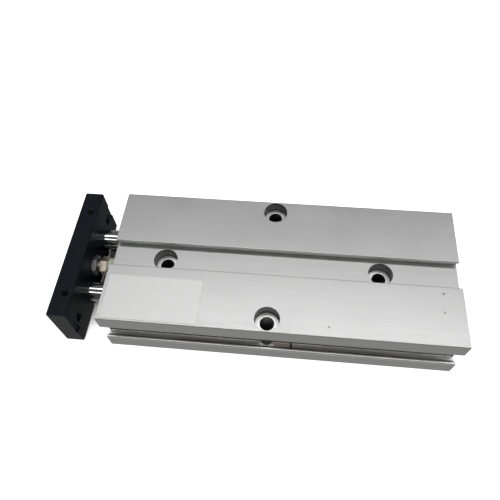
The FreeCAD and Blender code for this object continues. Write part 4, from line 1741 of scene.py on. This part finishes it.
def mounting_holes(top_mm: float) -> tuple[MountingHoles, MountingHoles]:
    """Give the counterbored holes beside the bores and those in the channel.

    Args:
        top_mm: Height of the body's top face.

    Returns:
        The two pairs.
    """
    side = mount("side_mounting_holes")["dims"]
    channel = mount("channel_mounting_holes")["dims"]
    side_y_mm = side["spacing_y_mm"] / 2.0
    channel_x_mm = channel["spacing_x_mm"] / 2.0
    seat_mm = top_mm - COUNTERBORE_DEPTH_MM
    low_seat_mm = seat_mm - CHANNEL_DEPTH_MM
    return (
        MountingHoles(0.0, side_y_mm, seat_mm, side["hole_r_mm"], COUNTERBORE_RADIUS_MM),
        MountingHoles(channel_x_mm, 0.0, low_seat_mm, channel["hole_r_mm"], COUNTERBORE_RADIUS_MM),
    )


def finishes() -> list[Finish]:
    """Give the finish of every material slot.

    Returns:
        One finish for each slot of the record.
    """
    low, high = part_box("label")
    top_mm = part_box("barrel_body")[1].z / MM
    rod = middle_of("piston_rod_port_side")
    bore_axis = Axis(rod.y / MM, rod.z / MM)
    return [
        DrawnAluminium(
            "body_anodised", (0.66, 0.665, 0.655), 0.42,
            NICKS, SLOT_STAINS_AND_PAINTED_LIGHT, mounting_holes(top_mm), top_mm, MILL_CENTRE,
        ),
        DyedAluminium(
            "plate_anodised", (0.0065, 0.009, 0.0145), 0.5, (0.14, 0.142, 0.146), (0.07, 0.07, 0.075)
        ),
        HardChrome("rod_chrome", (0.5, 0.51, 0.52), 0.06, (0.42, 0.4, 0.36)),
        PlatedSteel("bolt_steel", (0.66, 0.59, 0.48), 0.36, (0.85, 0.8, 0.7), (0.5, 0.43, 0.34)),
        PlatedSteel("nut_steel", (0.6, 0.62, 0.64), 0.38, (0.76, 0.78, 0.8), (0.52, 0.53, 0.54)),
        PlatedSteel("screw_steel", (0.032, 0.032, 0.036), 0.42, (0.22, 0.2, 0.18), (0.02, 0.02, 0.022), 0.6),
        PlatedSteel("ring_steel", (0.1, 0.1, 0.105), 0.45, (0.32, 0.32, 0.32), (0.06, 0.06, 0.062), 0.8),
        TurnedMetal("cover_aluminium", (0.62, 0.62, 0.61), 0.3, bore_axis, (0.3, 0.3, 0.29)),
        TurnedMetal("bush_bronze", (0.6, 0.4, 0.18), 0.38, bore_axis, (0.22, 0.13, 0.06), pores=0.8),
        Elastomer("seal_rubber", (0.018, 0.018, 0.019), 0.5, (0.09, 0.085, 0.08)),
        Elastomer("cushion_rubber", (0.2, 0.075, 0.035), 0.55, (0.3, 0.2, 0.14)),
        Elastomer("bumper_urethane", (0.72, 0.72, 0.55), 0.38, (0.5, 0.46, 0.36), 0.15, 0.35),
        FilledPlastic("magnet_composite", (0.05, 0.05, 0.054), 0.5, (0.13, 0.13, 0.135)),
        FilledPlastic("wear_plastic", (0.68, 0.64, 0.56), 0.5, (0.55, 0.5, 0.42), 0.5),
        LabelFilm(
            "label_film", (0.96, 0.96, 0.95), 0.5, (0.5, 0.48, 0.44),
            (low.x / MM, low.y / MM), (high.x / MM, high.y / MM),
        ),
    ]


def main() -> None:
    """Build the studio, then each sub-assembly in order."""
    logging.basicConfig(level=logging.INFO, format="%(name)s: %(message)s")
    Studio().build()
    shop = Workshop(finishes())
    for assembly in (Barrel(), BoreEnds(), Pistons(), EndPlate(), StrokeStop()):
        LOG.info("building %s", type(assembly).__name__)
        assembly.build(shop)


if __name__ == "__main__":
    main()
